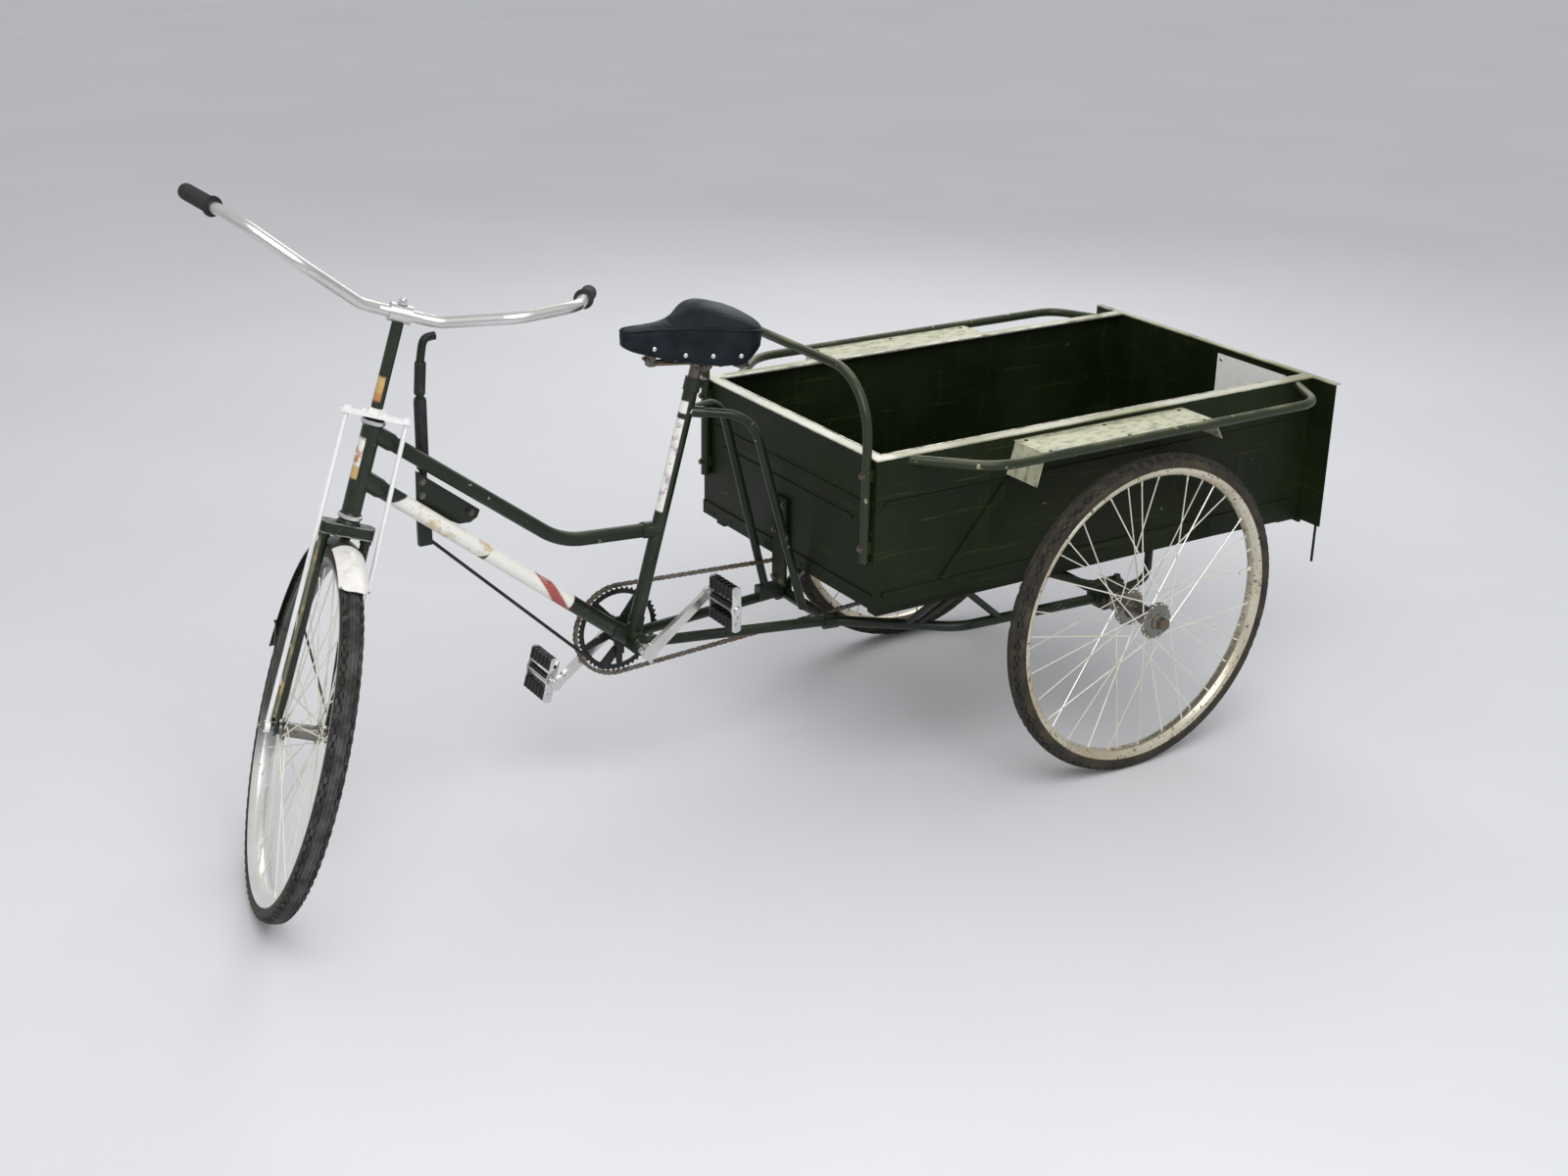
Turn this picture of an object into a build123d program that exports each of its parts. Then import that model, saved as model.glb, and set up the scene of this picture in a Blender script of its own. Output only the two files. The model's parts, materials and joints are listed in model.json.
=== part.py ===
from build123d import *
import math
import os

# A pedal cargo tricycle: a lugged roadster front with one steered wheel, and a
# steel load box between two rear wheels. All sizes are in millimetres. X runs
# forward, Y to the rider's left, Z up. While drawing, x = 0 is the rear axle and
# z = 0 the floor; the last section puts the origin under the middle of the whole.

# Fits
FIT = 0.05                 # radial play of every turning fit
SEAT = 0.3                 # gap between curved faces that only rest on each other

# Wheels
WHEEL_R = 355.0            # outside radius of all three tyres
TYRE_HALF = 21.0           # half the width of a tyre
RIM_SEAT_R = WHEEL_R - 31  # radius the tyre sits on
RIM_INNER_R = RIM_SEAT_R - 15          # radius the spokes end at
RIM_HALF = 19.0            # half the width of a rim
SPOKES = 36                # in each wheel
SPOKE_T = 2.6              # thickness of a spoke
SPOKE_LEAN = 58.0          # turn of a spoke round the hub, degrees
AXLE_Z = WHEEL_R

# Frame, points in the middle plane as (x, z)
BB = (998.0, AXLE_Z + 3)
SEAT_TOP = (851.0, BB[1] + 530)
TOP_TUBE_LOW_Z = BB[1] + 228           # where the top tube meets the seat tube
TOP_TUBE_BEND = (1150.0, BB[1] + 241)
SEAT_TUBE_R, TOP_TUBE_R, DOWN_TUBE_R, STAY_R, RAIL_R = 14.5, 14.3, 16.0, 9.0, 11.0
STAY_TOP_Z = BB[1] + 464   # where the rear stays meet the seat tube
STAY_FOOT = (632.0, 76.0, AXLE_Z + 20)
STAY_CORNER = (752.0, 62.0, BB[1] + 454)
LUG_WALL = 2.5             # wall of every brazed socket

# Steering, heights along the steering axis from the level of the front axle
HEAD_TILT = 18.05          # lean of the steering axis, degrees from upright
HEAD_X = 1702.1            # where the steering axis passes beside the front hub
RAKE = 35.0                # front axle ahead of the steering axis
STEER_DEG = 77.0           # turned to the rider's left
GUARD_R = WHEEL_R + 13     # outside radius of the front mudguard
CROWN_LOW = GUARD_R + 6
CROWN_TOP = CROWN_LOW + 24
HEAD_LOW = CROWN_TOP + 9
HEAD_TOP = HEAD_LOW + 190
PLATE_LOW = HEAD_TOP + 6
PLATE_TOP = PLATE_LOW + 6
BAR_T = PLATE_TOP + 185    # middle of the handlebar clamp
TOP_TUBE_T, DOWN_TUBE_T = HEAD_TOP - 23, HEAD_LOW + 80
HEAD_R, STEERER_R = 18.0, 12.0
ROD_TOP_A, ROD_LOW_A, ROD_TOP_B = 55.0, 64.0, 18.0     # truss rods, beside and ahead of the axis
AXLE_END = 81.0            # end of the front axle, from the middle of the wheel
BAR_R, GRIP_R, GRIP = 11.0, 15.5, 118.0
# The left half of the handlebar as (ahead, aside, above the clamp)
BAR = [(8, 75, 2), (66, 195, 50), (30, 305, 92), (-190, 385, 100)]

# Load box
BOX_FRONT, BOX_REAR, BOX_HALF = 634.0, -537.0, 329.0
FLOOR_Z = AXLE_Z + 108
BOX_TOP, SKIRT_REAR_Z = FLOOR_Z + 312, FLOOR_Z - 20
SHEET = 3.0
RIM_W = 25.0               # width of the folded rims
TAIL_HALF = BOX_HALF + 69
HINGE_X, HINGE_Z = BOX_REAR - 9, FLOOR_Z - 26
HOOP_Z, HOOP_Y, HOOP_R = BOX_TOP - 13, BOX_HALF + 116, 10.0
ARCH_TOP, ARCH_HALF, ARCH_R = BOX_TOP + 160, BOX_HALF - 21, 9.5

# Rear chassis
RAIL_Y = BOX_HALF - 33
HOUSING_HALF = 16.0        # half the width of an axle housing
BEARER_LOW = FLOOR_Z - 25
TRACK = 2 * BOX_HALF + 192             # between the middles of the rear wheels
AXLE_R = 10.0

# Drive
CHAIN_Y = -60.0
PITCH = 12.7
RING_TEETH, SPROCKET_TEETH = 48, 24
CRANK, CRANK_DEG = 170.0, -37.0        # right crank, degrees from forward
CRANK_IN = 11 - CHAIN_Y                # both faces of a crank, from the middle plane
CRANK_OUT = CRANK_IN + 12
PEDAL_IN, PEDAL_OUT = CRANK_OUT + 14, CRANK_OUT + 106
PEDAL_TILT = {1: 90.0, -1: 75.0}
SPINDLE_R, PEDAL_PIN_R = 8.0, 5.0

nodes = {}


# Round bar between two points
def rod(a, b, r):
    a, b = Vector(*a), Vector(*b)
    line = b - a
    return Solid.make_cylinder(r, line.length, Plane(origin=a, z_dir=line))


# Round bar bent through points, with one bend radius for each inner point
def bent(points, r, bends):
    p = [Vector(*q) for q in points]
    edges, start = [], p[0]
    for before, corner, after, bend in zip(p, p[1:], p[2:], bends):
        u, w = (before - corner).normalized(), (after - corner).normalized()
        half = math.acos(max(-1, min(1, u.dot(w)))) / 2
        reach = bend / math.tan(half)
        a, b = corner + u * reach, corner + w * reach
        mid = corner + (u + w).normalized() * (bend / math.sin(half) - bend)
        if (a - start).length > 0.01:
            edges.append(Edge.make_line(start, a))
        edges.append(Edge.make_three_point_arc(a, mid, b))
        start = b
    edges.append(Edge.make_line(start, p[-1]))
    face = Plane(origin=p[0], z_dir=p[1] - p[0]) * Circle(r)
    return sweep(face, path=Wire(edges))


# Block from its lowest to its highest corner
def block(x0, x1, y0, y1, z0, z1):
    middle = Pos((x0 + x1) / 2, (y0 + y1) / 2, (z0 + z1) / 2)
    return middle * Box(abs(x1 - x0), abs(y1 - y0), abs(z1 - z0))


# Plate with its outline in the X-Z plane, between two values of y
def plate_xz(points, y0, y1):
    face = make_face(Polyline(*[(x, 0, z) for x, z in points], close=True))
    return Pos(0, min(y0, y1), 0) * extrude(face, amount=abs(y1 - y0), dir=(0, 1, 0))


# Plate with its outline in the X-Y plane, between two heights
def plate_xy(points, z0, z1):
    face = make_face(Polyline(*[(x, y, z0) for x, y in points], close=True))
    return extrude(face, amount=z1 - z0, dir=(0, 0, 1))


# Ring or hub turned about the Y axis from (radius, y) points
def turned(points):
    face = make_face(Polyline(*[(r, y, 0) for r, y in points], close=True))
    return revolve(face, Axis.Y, 360)


# Ring or cup turned about the Z axis from (radius, z) points
def turned_up(points):
    face = make_face(Polyline(*[(r, 0, z) for r, z in points], close=True))
    return revolve(face, Axis.Z, 360)


def mirror_y(solid):
    return mirror(solid, about=Plane.XZ)


def one(*solids):
    out = solids[0]
    for s in solids[1:]:
        out = out + s
    return out


def apart(*solids):
    return Compound([piece for s in solids for piece in s.solids()])


def nut(at, toward, across, height):
    return extrude(Plane(origin=at, z_dir=toward) * RegularPolygon(across, 6), amount=height)


def along(a, b, reach):
    a, b = Vector(*a), Vector(*b)
    q = a + (b - a).normalized() * reach
    return (q.X, q.Y, q.Z)


# Brazed socket of a lug: a sleeve whose mouth is cut back between two points
def socket(start, toward, tube_r, reach):
    sleeve = rod(start, along(start, toward, reach), tube_r + LUG_WALL)
    line = (Vector(*toward) - Vector(*start)).normalized()
    across = line.cross(Vector(0, 1, 0)).normalized() * 60
    mouth = Vector(*along(start, toward, reach + 9))
    return sleeve - rod(tuple(mouth - across), tuple(mouth + across), 20)


# Bore of a socket, from where the tube's end rests to beyond the mouth
def bore(start, toward, tube_r, seat, reach):
    return rod(along(start, toward, seat), along(start, toward, reach + 20), tube_r + SEAT)


# Wheels: tyre and rim profiles as (radius, y), then hub and crossed spokes
TYRE_PROFILE = [(RIM_SEAT_R + SEAT, 14), (WHEEL_R - 16, TYRE_HALF), (WHEEL_R, 8),
                (WHEEL_R, -8), (WHEEL_R - 16, -TYRE_HALF), (RIM_SEAT_R + SEAT, -14)]
RIM_LIP_R, RIM_SIDE_R, RIM_BEND_R = RIM_SEAT_R + 3, RIM_SEAT_R - 4, RIM_INNER_R + 5
RIM_SIDE = [(RIM_SEAT_R, 14.2), (RIM_LIP_R, 17.6), (RIM_LIP_R, RIM_HALF), (RIM_SIDE_R, RIM_HALF),
            (RIM_BEND_R, 13), (RIM_INNER_R, 7)]
RIM_PROFILE = RIM_SIDE + [(r, -y) for r, y in reversed(RIM_SIDE)]
FRONT_HUB = [(12, 44), (12, 36), (22, 35), (22, 30), (14, 27)]
FRONT_HUB += [(r, -y) for r, y in reversed(FRONT_HUB)]
REAR_HUB = [(22, -88), (22, -80), (19, -78), (19, -46), (40, -44), (40, -38), (20, -36),
            (20, 36), (40, 38), (40, 44), (18, 46), (18, 52), (13, 54), (13, 60)]


def wire_wheel(hub_points, bore_r, flange_y, flange_r):
    hub = turned([(bore_r, hub_points[0][1])] + hub_points + [(bore_r, hub_points[-1][1])])
    spokes = []
    per_side = SPOKES // 2
    hub_reach, rim_reach = flange_r - 3, RIM_INNER_R + 2
    for side in (1, -1):
        for i in range(per_side):
            lead = 1 if i % 2 == 0 else -1
            hub_angle = math.radians((i + (0.25 if side == 1 else 0.75)) * 360 / per_side)
            rim_angle = hub_angle + lead * math.radians(SPOKE_LEAN)
            inner = Vector(hub_reach * math.cos(hub_angle), side * (flange_y + lead * 2.2),
                           hub_reach * math.sin(hub_angle))
            outer = Vector(rim_reach * math.cos(rim_angle), side * 3, rim_reach * math.sin(rim_angle))
            section = Plane(origin=inner, z_dir=outer - inner) * Rectangle(SPOKE_T, SPOKE_T)
            spokes.append(extrude(section, amount=(outer - inner).length))
    return hub.fuse(turned(RIM_PROFILE), *spokes)


tyre = turned(TYRE_PROFILE)
front_wheel = wire_wheel(FRONT_HUB, PEDAL_PIN_R + FIT, 32.5, 22)
rear_wheel = wire_wheel(REAR_HUB, AXLE_R + FIT, 41, 40)

# Rear wheels: the long end of each hub is toward the box; the left wheel turns
# on the shaft, and the right one is fixed to it
half_track = TRACK / 2
nodes["rear_tyre_left"] = Pos(0, half_track, AXLE_Z) * tyre
nodes["rear_tyre_right"] = Pos(0, -half_track, AXLE_Z) * tyre
nodes["rear_wheel_left"] = Pos(0, half_track, AXLE_Z) * rear_wheel
nodes["rear_wheel_right"] = Pos(0, -half_track, AXLE_Z) * mirror_y(rear_wheel)


# Toothed wheels: four points for each tooth, as (share of a tooth, depth)
TOOTH = ((-0.28, 9.5), (-0.12, 5.6), (0.12, 5.6), (0.28, 9.5))


def pitch_radius(teeth):
    return PITCH / (2 * math.sin(math.pi / teeth))


def toothed(teeth, y0, y1):
    points = []
    for i in range(teeth):
        for share, depth in TOOTH:
            r, t = pitch_radius(teeth) - depth, 2 * math.pi * (i + share) / teeth
            points.append((r * math.cos(t), r * math.sin(t)))
    return plate_xz(points, y0, y1)


def disc(r, y0, y1):
    return rod((0, y0, 0), (0, y1, 0), r)


# Rear shaft with its sprocket, collars against the housings and end nuts
SHAFT_END = half_track + 61
COLLAR_R, COLLAR = 19.0, 12.0
shaft = rod((0, -SHAFT_END, AXLE_Z), (0, SHAFT_END, AXLE_Z), AXLE_R)
for s in (1, -1):
    for face, out in ((RAIL_Y - HOUSING_HALF - 1, -1), (RAIL_Y + HOUSING_HALF + 1, 1)):
        shaft += rod((0, s * face, AXLE_Z), (0, s * (face + out * COLLAR), AXLE_Z), COLLAR_R)
    shaft += nut((0, s * (SHAFT_END - 0.5), AXLE_Z), (0, s, 0), 15, 9)
    shaft += rod((0, s * (SHAFT_END + 8), AXLE_Z), (0, s * (SHAFT_END + 9), AXLE_Z), 9)
sprocket = one(toothed(SPROCKET_TEETH, CHAIN_Y - 1.5, CHAIN_Y + 1.5), disc(26, CHAIN_Y - 12, CHAIN_Y + 12))
nodes["rear_shaft"] = shaft + Pos(0, 0, AXLE_Z) * (sprocket - disc(AXLE_R - 1, CHAIN_Y - 14, CHAIN_Y + 14))


# Chain: a closed band of side plates round both toothed wheels, grooved outside
def loop_face(extra):
    r1, r2 = pitch_radius(RING_TEETH) + extra, pitch_radius(SPROCKET_TEETH) + extra
    c1, c2 = Vector(BB[0], 0, BB[1]), Vector(0, 0, AXLE_Z)
    line = c2 - c1
    base = math.atan2(line.Z, line.X)
    lean = math.acos((r1 - r2) / line.length)

    def rim_point(centre, r, angle):
        return centre + Vector(math.cos(angle), 0, math.sin(angle)) * r

    a1, b1 = rim_point(c1, r1, base + lean), rim_point(c1, r1, base - lean)
    a2, b2 = rim_point(c2, r2, base + lean), rim_point(c2, r2, base - lean)
    edges = [Edge.make_line(a1, a2), Edge.make_three_point_arc(a2, rim_point(c2, r2, base), b2),
             Edge.make_line(b2, b1), Edge.make_three_point_arc(b1, rim_point(c1, -r1, base), a1)]
    return Face(Wire(edges))


def loop(outer, inner, y0, y1):
    ring = loop_face(outer) - loop_face(inner)
    return Pos(0, y0, 0) * extrude(ring, amount=y1 - y0, dir=(0, 1, 0))


nodes["chain"] = one(loop(4.5, -4.5, CHAIN_Y - 4.5, CHAIN_Y - 3), loop(3.2, -4.5, CHAIN_Y - 3, CHAIN_Y + 3),
                     loop(4.5, -4.5, CHAIN_Y + 3, CHAIN_Y + 4.5))

# Chainwheel with five tapered arms, on the right of the bottom bracket
RING_INNER_R, SPIDER_R = 78.0, 27.0
wheel = toothed(RING_TEETH, -1.5, 1.5) - disc(RING_INNER_R, -3, 3) + disc(SPIDER_R, -3, 3)
arm = plate_xz([(20, -11), (RING_INNER_R + 3, -6), (RING_INNER_R + 3, 6), (20, 11)], -1.5, 1.5)
for i in range(5):
    wheel += Rot(0, 72 * i + 20, 0) * arm
nodes["chainwheel"] = Pos(BB[0], CHAIN_Y, BB[1]) * (wheel - disc(SPINDLE_R + SEAT, -4, 4))

# Cranks: spindle, two tapered arms with cotter pins, and the pedal pins
CRANK_HUB_R, CRANK_EYE_R, COTTER_R = 17.0, 11.0, 4.0
cranks = rod((BB[0], -CRANK_OUT, BB[1]), (BB[0], CRANK_OUT, BB[1]), SPINDLE_R)
pedal_at = {}
for s in (1, -1):
    t = math.radians(CRANK_DEG + (180 if s == 1 else 0))
    ahead, across = Vector(math.cos(t), 0, math.sin(t)), Vector(-math.sin(t), 0, math.cos(t))
    hub, pin = Vector(BB[0], 0, BB[1]), Vector(BB[0], 0, BB[1]) + ahead * CRANK
    pedal_at[s] = (pin.X, pin.Z)
    outline = [hub + across * 12, pin + across * 8, pin - across * 8, hub - across * 12]
    y0, y1 = s * CRANK_IN, s * CRANK_OUT
    cotter = hub - ahead * (CRANK_HUB_R - 6) + Vector(0, (y0 + y1) / 2, 0)
    cranks = one(cranks, plate_xz([(q.X, q.Z) for q in outline], y0, y1),
                 rod((hub.X, y0, hub.Z), (hub.X, y1, hub.Z), CRANK_HUB_R),
                 rod((pin.X, y0, pin.Z), (pin.X, y1, pin.Z), CRANK_EYE_R),
                 rod(tuple(cotter - across * 19), tuple(cotter + across * 21), COTTER_R),
                 rod((pin.X, y0, pin.Z), (pin.X, s * (PEDAL_OUT + 4), pin.Z), PEDAL_PIN_R))
nodes["cranks"] = cranks

# Pedals: a barrel on the pin, two cage plates and two ribbed rubber blocks
CAGE_HALF, CAGE_T = 48.0, 4.0
BLOCK_IN, BLOCK_OUT, BLOCK_HALF = 20.0, 44.0, 12.0
BARREL_R, GROOVES = 9.0, 5
half_cage = [(-CAGE_HALF, -5), (-BLOCK_OUT, -10), (-12, -10), (0, -13), (12, -10), (BLOCK_OUT, -10),
             (CAGE_HALF, -5)]
CAGE = half_cage + [(x, -z) for x, z in reversed(half_cage)]
for s, name in ((1, "pedal_left"), (-1, "pedal_right")):
    body = disc(BARREL_R, PEDAL_IN, PEDAL_OUT)
    near, far = PEDAL_IN + CAGE_T, PEDAL_OUT - CAGE_T
    for sx in (1, -1):
        rubber = block(sx * BLOCK_IN, sx * BLOCK_OUT, near, far, -BLOCK_HALF, BLOCK_HALF)
        for groove in range(1, GROOVES + 1):
            y = PEDAL_IN + groove * (PEDAL_OUT - PEDAL_IN) / (GROOVES + 1)
            for z in (BLOCK_HALF, -BLOCK_HALF):
                rubber -= block(-CAGE_HALF, CAGE_HALF, y - 2, y + 2, z - 2.5, z + 2.5)
        body += rubber
    for ya, yb in ((PEDAL_IN, near), (far, PEDAL_OUT)):
        body += plate_xz(CAGE, ya, yb)
    body = Rot(0, PEDAL_TILT[s], 0) * (body - disc(PEDAL_PIN_R + FIT, PEDAL_IN - 5, PEDAL_OUT + 5))
    if s == -1:
        body = mirror_y(body)
    nodes[name] = Pos(pedal_at[s][0], 0, pedal_at[s][1]) * body


# The steering axis, and the turned wheel that must touch the floor: the height
# of the axis follows from the wheel's lean
tilt, steer = math.radians(HEAD_TILT), math.radians(STEER_DEG)
S_DIR = Vector(-math.sin(tilt), 0, math.cos(tilt))
F0 = Vector(math.cos(tilt), 0, math.sin(tilt))
F_DIR = F0 * math.cos(steer) + Vector(0, 1, 0) * math.sin(steer)
N_DIR = Vector(0, 1, 0) * math.cos(steer) - F0 * math.sin(steer)
upright = math.sqrt(1 - N_DIR.Z ** 2)
lowest = max(r * upright + abs(y * N_DIR.Z) for r, y in TYRE_PROFILE)
HEAD_FOOT_Z = lowest - RAKE * F_DIR.Z


def head_point(t):
    return (HEAD_X - t * math.sin(tilt), 0, HEAD_FOOT_Z + t * math.cos(tilt))


def seat_axis(z):
    share = (z - BB[1]) / (SEAT_TOP[1] - BB[1])
    return (BB[0] + share * (SEAT_TOP[0] - BB[0]), 0, z)


bb3, seat3, bend3 = ((x, 0, z) for x, z in (BB, SEAT_TOP, TOP_TUBE_BEND))
down_top, top_top = head_point(DOWN_TUBE_T), head_point(TOP_TUBE_T)
top_low, stay_axis = seat_axis(TOP_TUBE_LOW_Z), seat_axis(STAY_TOP_Z)

# Rails of the chassis, from the bottom bracket back to the axle, as (x, y, z)
RAIL_POINTS = [(575.0, 95.0, AXLE_Z - 12), (365.0, RAIL_Y - 31, AXLE_Z - 10), (28.0, RAIL_Y, AXLE_Z - 5)]
rail_start = {s: (BB[0], s * 24.0, BB[1]) for s in (1, -1)}
rail_first = {s: (RAIL_POINTS[0][0], s * RAIL_POINTS[0][1], RAIL_POINTS[0][2]) for s in (1, -1)}
stay_corner = {s: (STAY_CORNER[0], s * STAY_CORNER[1], STAY_CORNER[2]) for s in (1, -1)}

# Sockets of the lugged joints: (start, toward, radius, seat of the tube, length)
BB_SOCKETS = [(bb3, down_top, DOWN_TUBE_R, 26, 58), (bb3, seat3, SEAT_TUBE_R, 26, 58)]
BB_SOCKETS += [(rail_start[s], rail_first[s], RAIL_R, 26, 52) for s in (1, -1)]
HEAD_SOCKETS = [(top_top, bend3, TOP_TUBE_R, 22, 56), (down_top, bb3, DOWN_TUBE_R, 22, 56)]
SEAT_SOCKETS = [(top_low, bend3, TOP_TUBE_R, 18, 44)]
SEAT_SOCKETS += [(stay_axis, stay_corner[s], STAY_R, 26, 46) for s in (1, -1)]


def lugged(core, sockets):
    for start, toward, r, seat, reach in sockets:
        core += socket(start, toward, r, reach)
    for start, toward, r, seat, reach in sockets:
        core -= bore(start, toward, r, seat, reach)
    return core


def tube_end(sockets, i):
    start, toward, r, seat, reach = sockets[i]
    return along(start, toward, seat)


# Bottom bracket shell with its four sockets and a cable stop below
SHELL_R, SHELL_HALF = 21.0, 34.0
shell = rod((BB[0], -SHELL_HALF, BB[1]), (BB[0], SHELL_HALF, BB[1]), SHELL_R)
shell += block(BB[0] + 4, BB[0] + 22, -30, -24, BB[1] - 40, BB[1] - 8)
shell = lugged(shell, BB_SOCKETS)
for s in (1, -1):
    shell += rod((BB[0], s * (SHELL_HALF - 1), BB[1]), (BB[0], s * (SHELL_HALF + 4), BB[1]), SHELL_R - 3)
nodes["bottom_bracket"] = shell - rod((BB[0], -60, BB[1]), (BB[0], 60, BB[1]), SPINDLE_R + FIT)

# Head tube with a bearing cup at each end; the steerer turns in its bore
HEAD_FRAME = Plane(origin=head_point(0), x_dir=F0, z_dir=S_DIR)
CUP_R, CUP = 21.0, 9.0
head_profile = [(STEERER_R + FIT, HEAD_LOW), (CUP_R - 2, HEAD_LOW), (CUP_R, HEAD_LOW + 3),
                (CUP_R, HEAD_LOW + CUP), (HEAD_R, HEAD_LOW + CUP + 4), (HEAD_R, HEAD_TOP - CUP - 4),
                (CUP_R, HEAD_TOP - CUP), (CUP_R, HEAD_TOP - 3), (CUP_R - 2, HEAD_TOP),
                (STEERER_R + FIT, HEAD_TOP)]
head = lugged(HEAD_FRAME.location * turned_up(head_profile), HEAD_SOCKETS)
nodes["head_tube"] = head - rod(head_point(HEAD_LOW - 20), head_point(HEAD_TOP + 20), STEERER_R + FIT)

# Down tube and top tube, between their sockets
nodes["down_tube"] = rod(tube_end(BB_SOCKETS, 0), tube_end(HEAD_SOCKETS, 1), DOWN_TUBE_R)
nodes["top_tube"] = bent([tube_end(SEAT_SOCKETS, 0), bend3, tube_end(HEAD_SOCKETS, 0)], TOP_TUBE_R, [160])

# Seat tube with the sockets of the top tube and of the rear stays, and the
# split clamp that grips the saddle post
CLAMP_LOW = SEAT_TOP[1] - 26
seat_tube = rod(tube_end(BB_SOCKETS, 1), seat3, SEAT_TUBE_R)
seat_tube += rod(seat_axis(CLAMP_LOW), seat3, SEAT_TUBE_R + LUG_WALL)
for s in (1, -1):
    seat_tube += block(SEAT_TOP[0] - 28, SEAT_TOP[0] - 8, s * 3, s * 8, CLAMP_LOW + 5, SEAT_TOP[1] - 5)
seat_tube += rod((SEAT_TOP[0] - 20, -11, SEAT_TOP[1] - 13), (SEAT_TOP[0] - 20, 11, SEAT_TOP[1] - 13), 4)
nodes["seat_tube"] = lugged(seat_tube, SEAT_SOCKETS)

# Rear stays, curving down from the seat tube to pads on the chassis rails
stays = []
for s in (1, -1):
    foot = (STAY_FOOT[0] - 2.8, s * STAY_FOOT[1], STAY_FOOT[2] - 10)
    stay = bent([foot, stay_corner[s], tube_end(SEAT_SOCKETS, 1 if s == 1 else 2)], STAY_R, [75])
    stays.append(stay - block(foot[0] - 100, foot[0] + 100, -150, 150, foot[2] - 60, STAY_FOOT[2]))
nodes["seat_stays"] = apart(*stays)

# Chassis: both rails, cross tube, stay pads, axle housings and the struts that
# carry the box bearers
STRUT_R, TAIL_STAY_X = 7.5, -125.0
HOUSING_R, HOUSING_FOOT = 31.0, 44.0                   # half lengths of a housing's body and of its foot
STRUTS = [(432, 383), (262, 383), (450, 428)]          # x of a strut's foot on the rail and of its head


def rail_at(x):
    (x0, y0, z0), (x1, y1, z1), (x2, y2, z2) = RAIL_POINTS
    if x < x1:
        x0, y0, z0, x1, y1, z1 = x1, y1, z1, x2, y2, z2
    share = (x0 - x) / (x0 - x1)
    return y0 + share * (y1 - y0), z0 + share * (z1 - z0)


parts = []
for s in (1, -1):
    rail = bent([tube_end(BB_SOCKETS, 2 if s == 1 else 3)] + [(x, s * y, z) for x, y, z in RAIL_POINTS],
                RAIL_R, [120, 120])
    y0, y1 = s * (RAIL_Y - HOUSING_HALF), s * (RAIL_Y + HOUSING_HALF)
    housing = one(rod((0, y0, AXLE_Z), (0, y1, AXLE_Z), HOUSING_R),
                  block(-HOUSING_R, HOUSING_R, y0, y1, AXLE_Z, AXLE_Z + 30),
                  block(-HOUSING_FOOT, HOUSING_FOOT, y0, y1, AXLE_Z + 18, AXLE_Z + 30))
    tail = bent([(-20, s * RAIL_Y, AXLE_Z - 5), (TAIL_STAY_X, s * RAIL_Y, AXLE_Z + 11),
                 (TAIL_STAY_X, s * RAIL_Y, BEARER_LOW)], STAY_R, [30])
    pad = block(STAY_FOOT[0] - 42, STAY_FOOT[0] + 18, s * (STAY_FOOT[1] - 10), s * (STAY_FOOT[1] + 12),
                AXLE_Z - 10, STAY_FOOT[2])
    elbow = rod((560, s * 98, AXLE_Z - 12), (592, s * 93, AXLE_Z - 12), 17)
    parts += [rail, housing, tail, pad, elbow]
    for x0, x1 in STRUTS:
        y, z = rail_at(x0)
        parts.append(rod((x0, s * (y - 2), z), (x1, s * RAIL_Y, BEARER_LOW + 8), STRUT_R))
    parts.append(rod((0, s * RAIL_Y, AXLE_Z + 17), (190, s * RAIL_Y, BEARER_LOW + 8), STRUT_R))
cross_x, cross_y, cross_z = RAIL_POINTS[0]
parts.append(rod((cross_x, -cross_y, cross_z), (cross_x, cross_y, cross_z), 12))
chassis = one(*parts) - block(BOX_REAR, BOX_FRONT, -half_track, half_track, BEARER_LOW, BEARER_LOW + 60)
nodes["chassis"] = chassis - rod((0, -half_track, AXLE_Z), (0, half_track, AXLE_Z), AXLE_R + FIT)

# Bearers under the box: two long bars and four cross bars
BEARER_REAR, BEARER_FRONT, BAR_HALF = BOX_REAR + 17, BOX_FRONT - 22, HOUSING_HALF - 1
bearers = [block(BEARER_REAR, BEARER_FRONT, s * RAIL_Y - BAR_HALF, s * RAIL_Y + BAR_HALF, BEARER_LOW, FLOOR_Z)
           for s in (1, -1)]
for x in (BEARER_FRONT - BAR_HALF, 200, -180, BEARER_REAR + BAR_HALF):
    bearers.append(block(x - BAR_HALF, x + BAR_HALF, -RAIL_Y, RAIL_Y, FLOOR_Z - 13, FLOOR_Z))
nodes["box_bearers"] = one(*bearers)

# Box: floor and walls from sheet with folded rims; the walls have pressed ribs
# and a diagonal stay
inner_front, inner_half = BOX_FRONT - SHEET, BOX_HALF - SHEET
nodes["box_floor"] = block(BOX_REAR, inner_front, -inner_half, inner_half, FLOOR_Z, FLOOR_Z + SHEET)
RIB_REAR, RIB_FRONT, RIB_T = BOX_REAR + 37, BOX_FRONT - 22, 2.5
SIDE_STAY = [(300, BOX_TOP - 101), (318, BOX_TOP - 91), (474, FLOOR_Z + 37), (456, FLOOR_Z + 29)]
SIDE_RIBS = [(BOX_TOP - 97, BOX_TOP - 89), (FLOOR_Z + 23, FLOOR_Z + 33)]      # low, high
FRONT_RIBS = [(BOX_TOP - 103, BOX_TOP - 95, BOX_HALF - 44),                   # low, high, half width
              (BOX_TOP - 144, BOX_TOP - 136, BOX_HALF - 79)]
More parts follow.
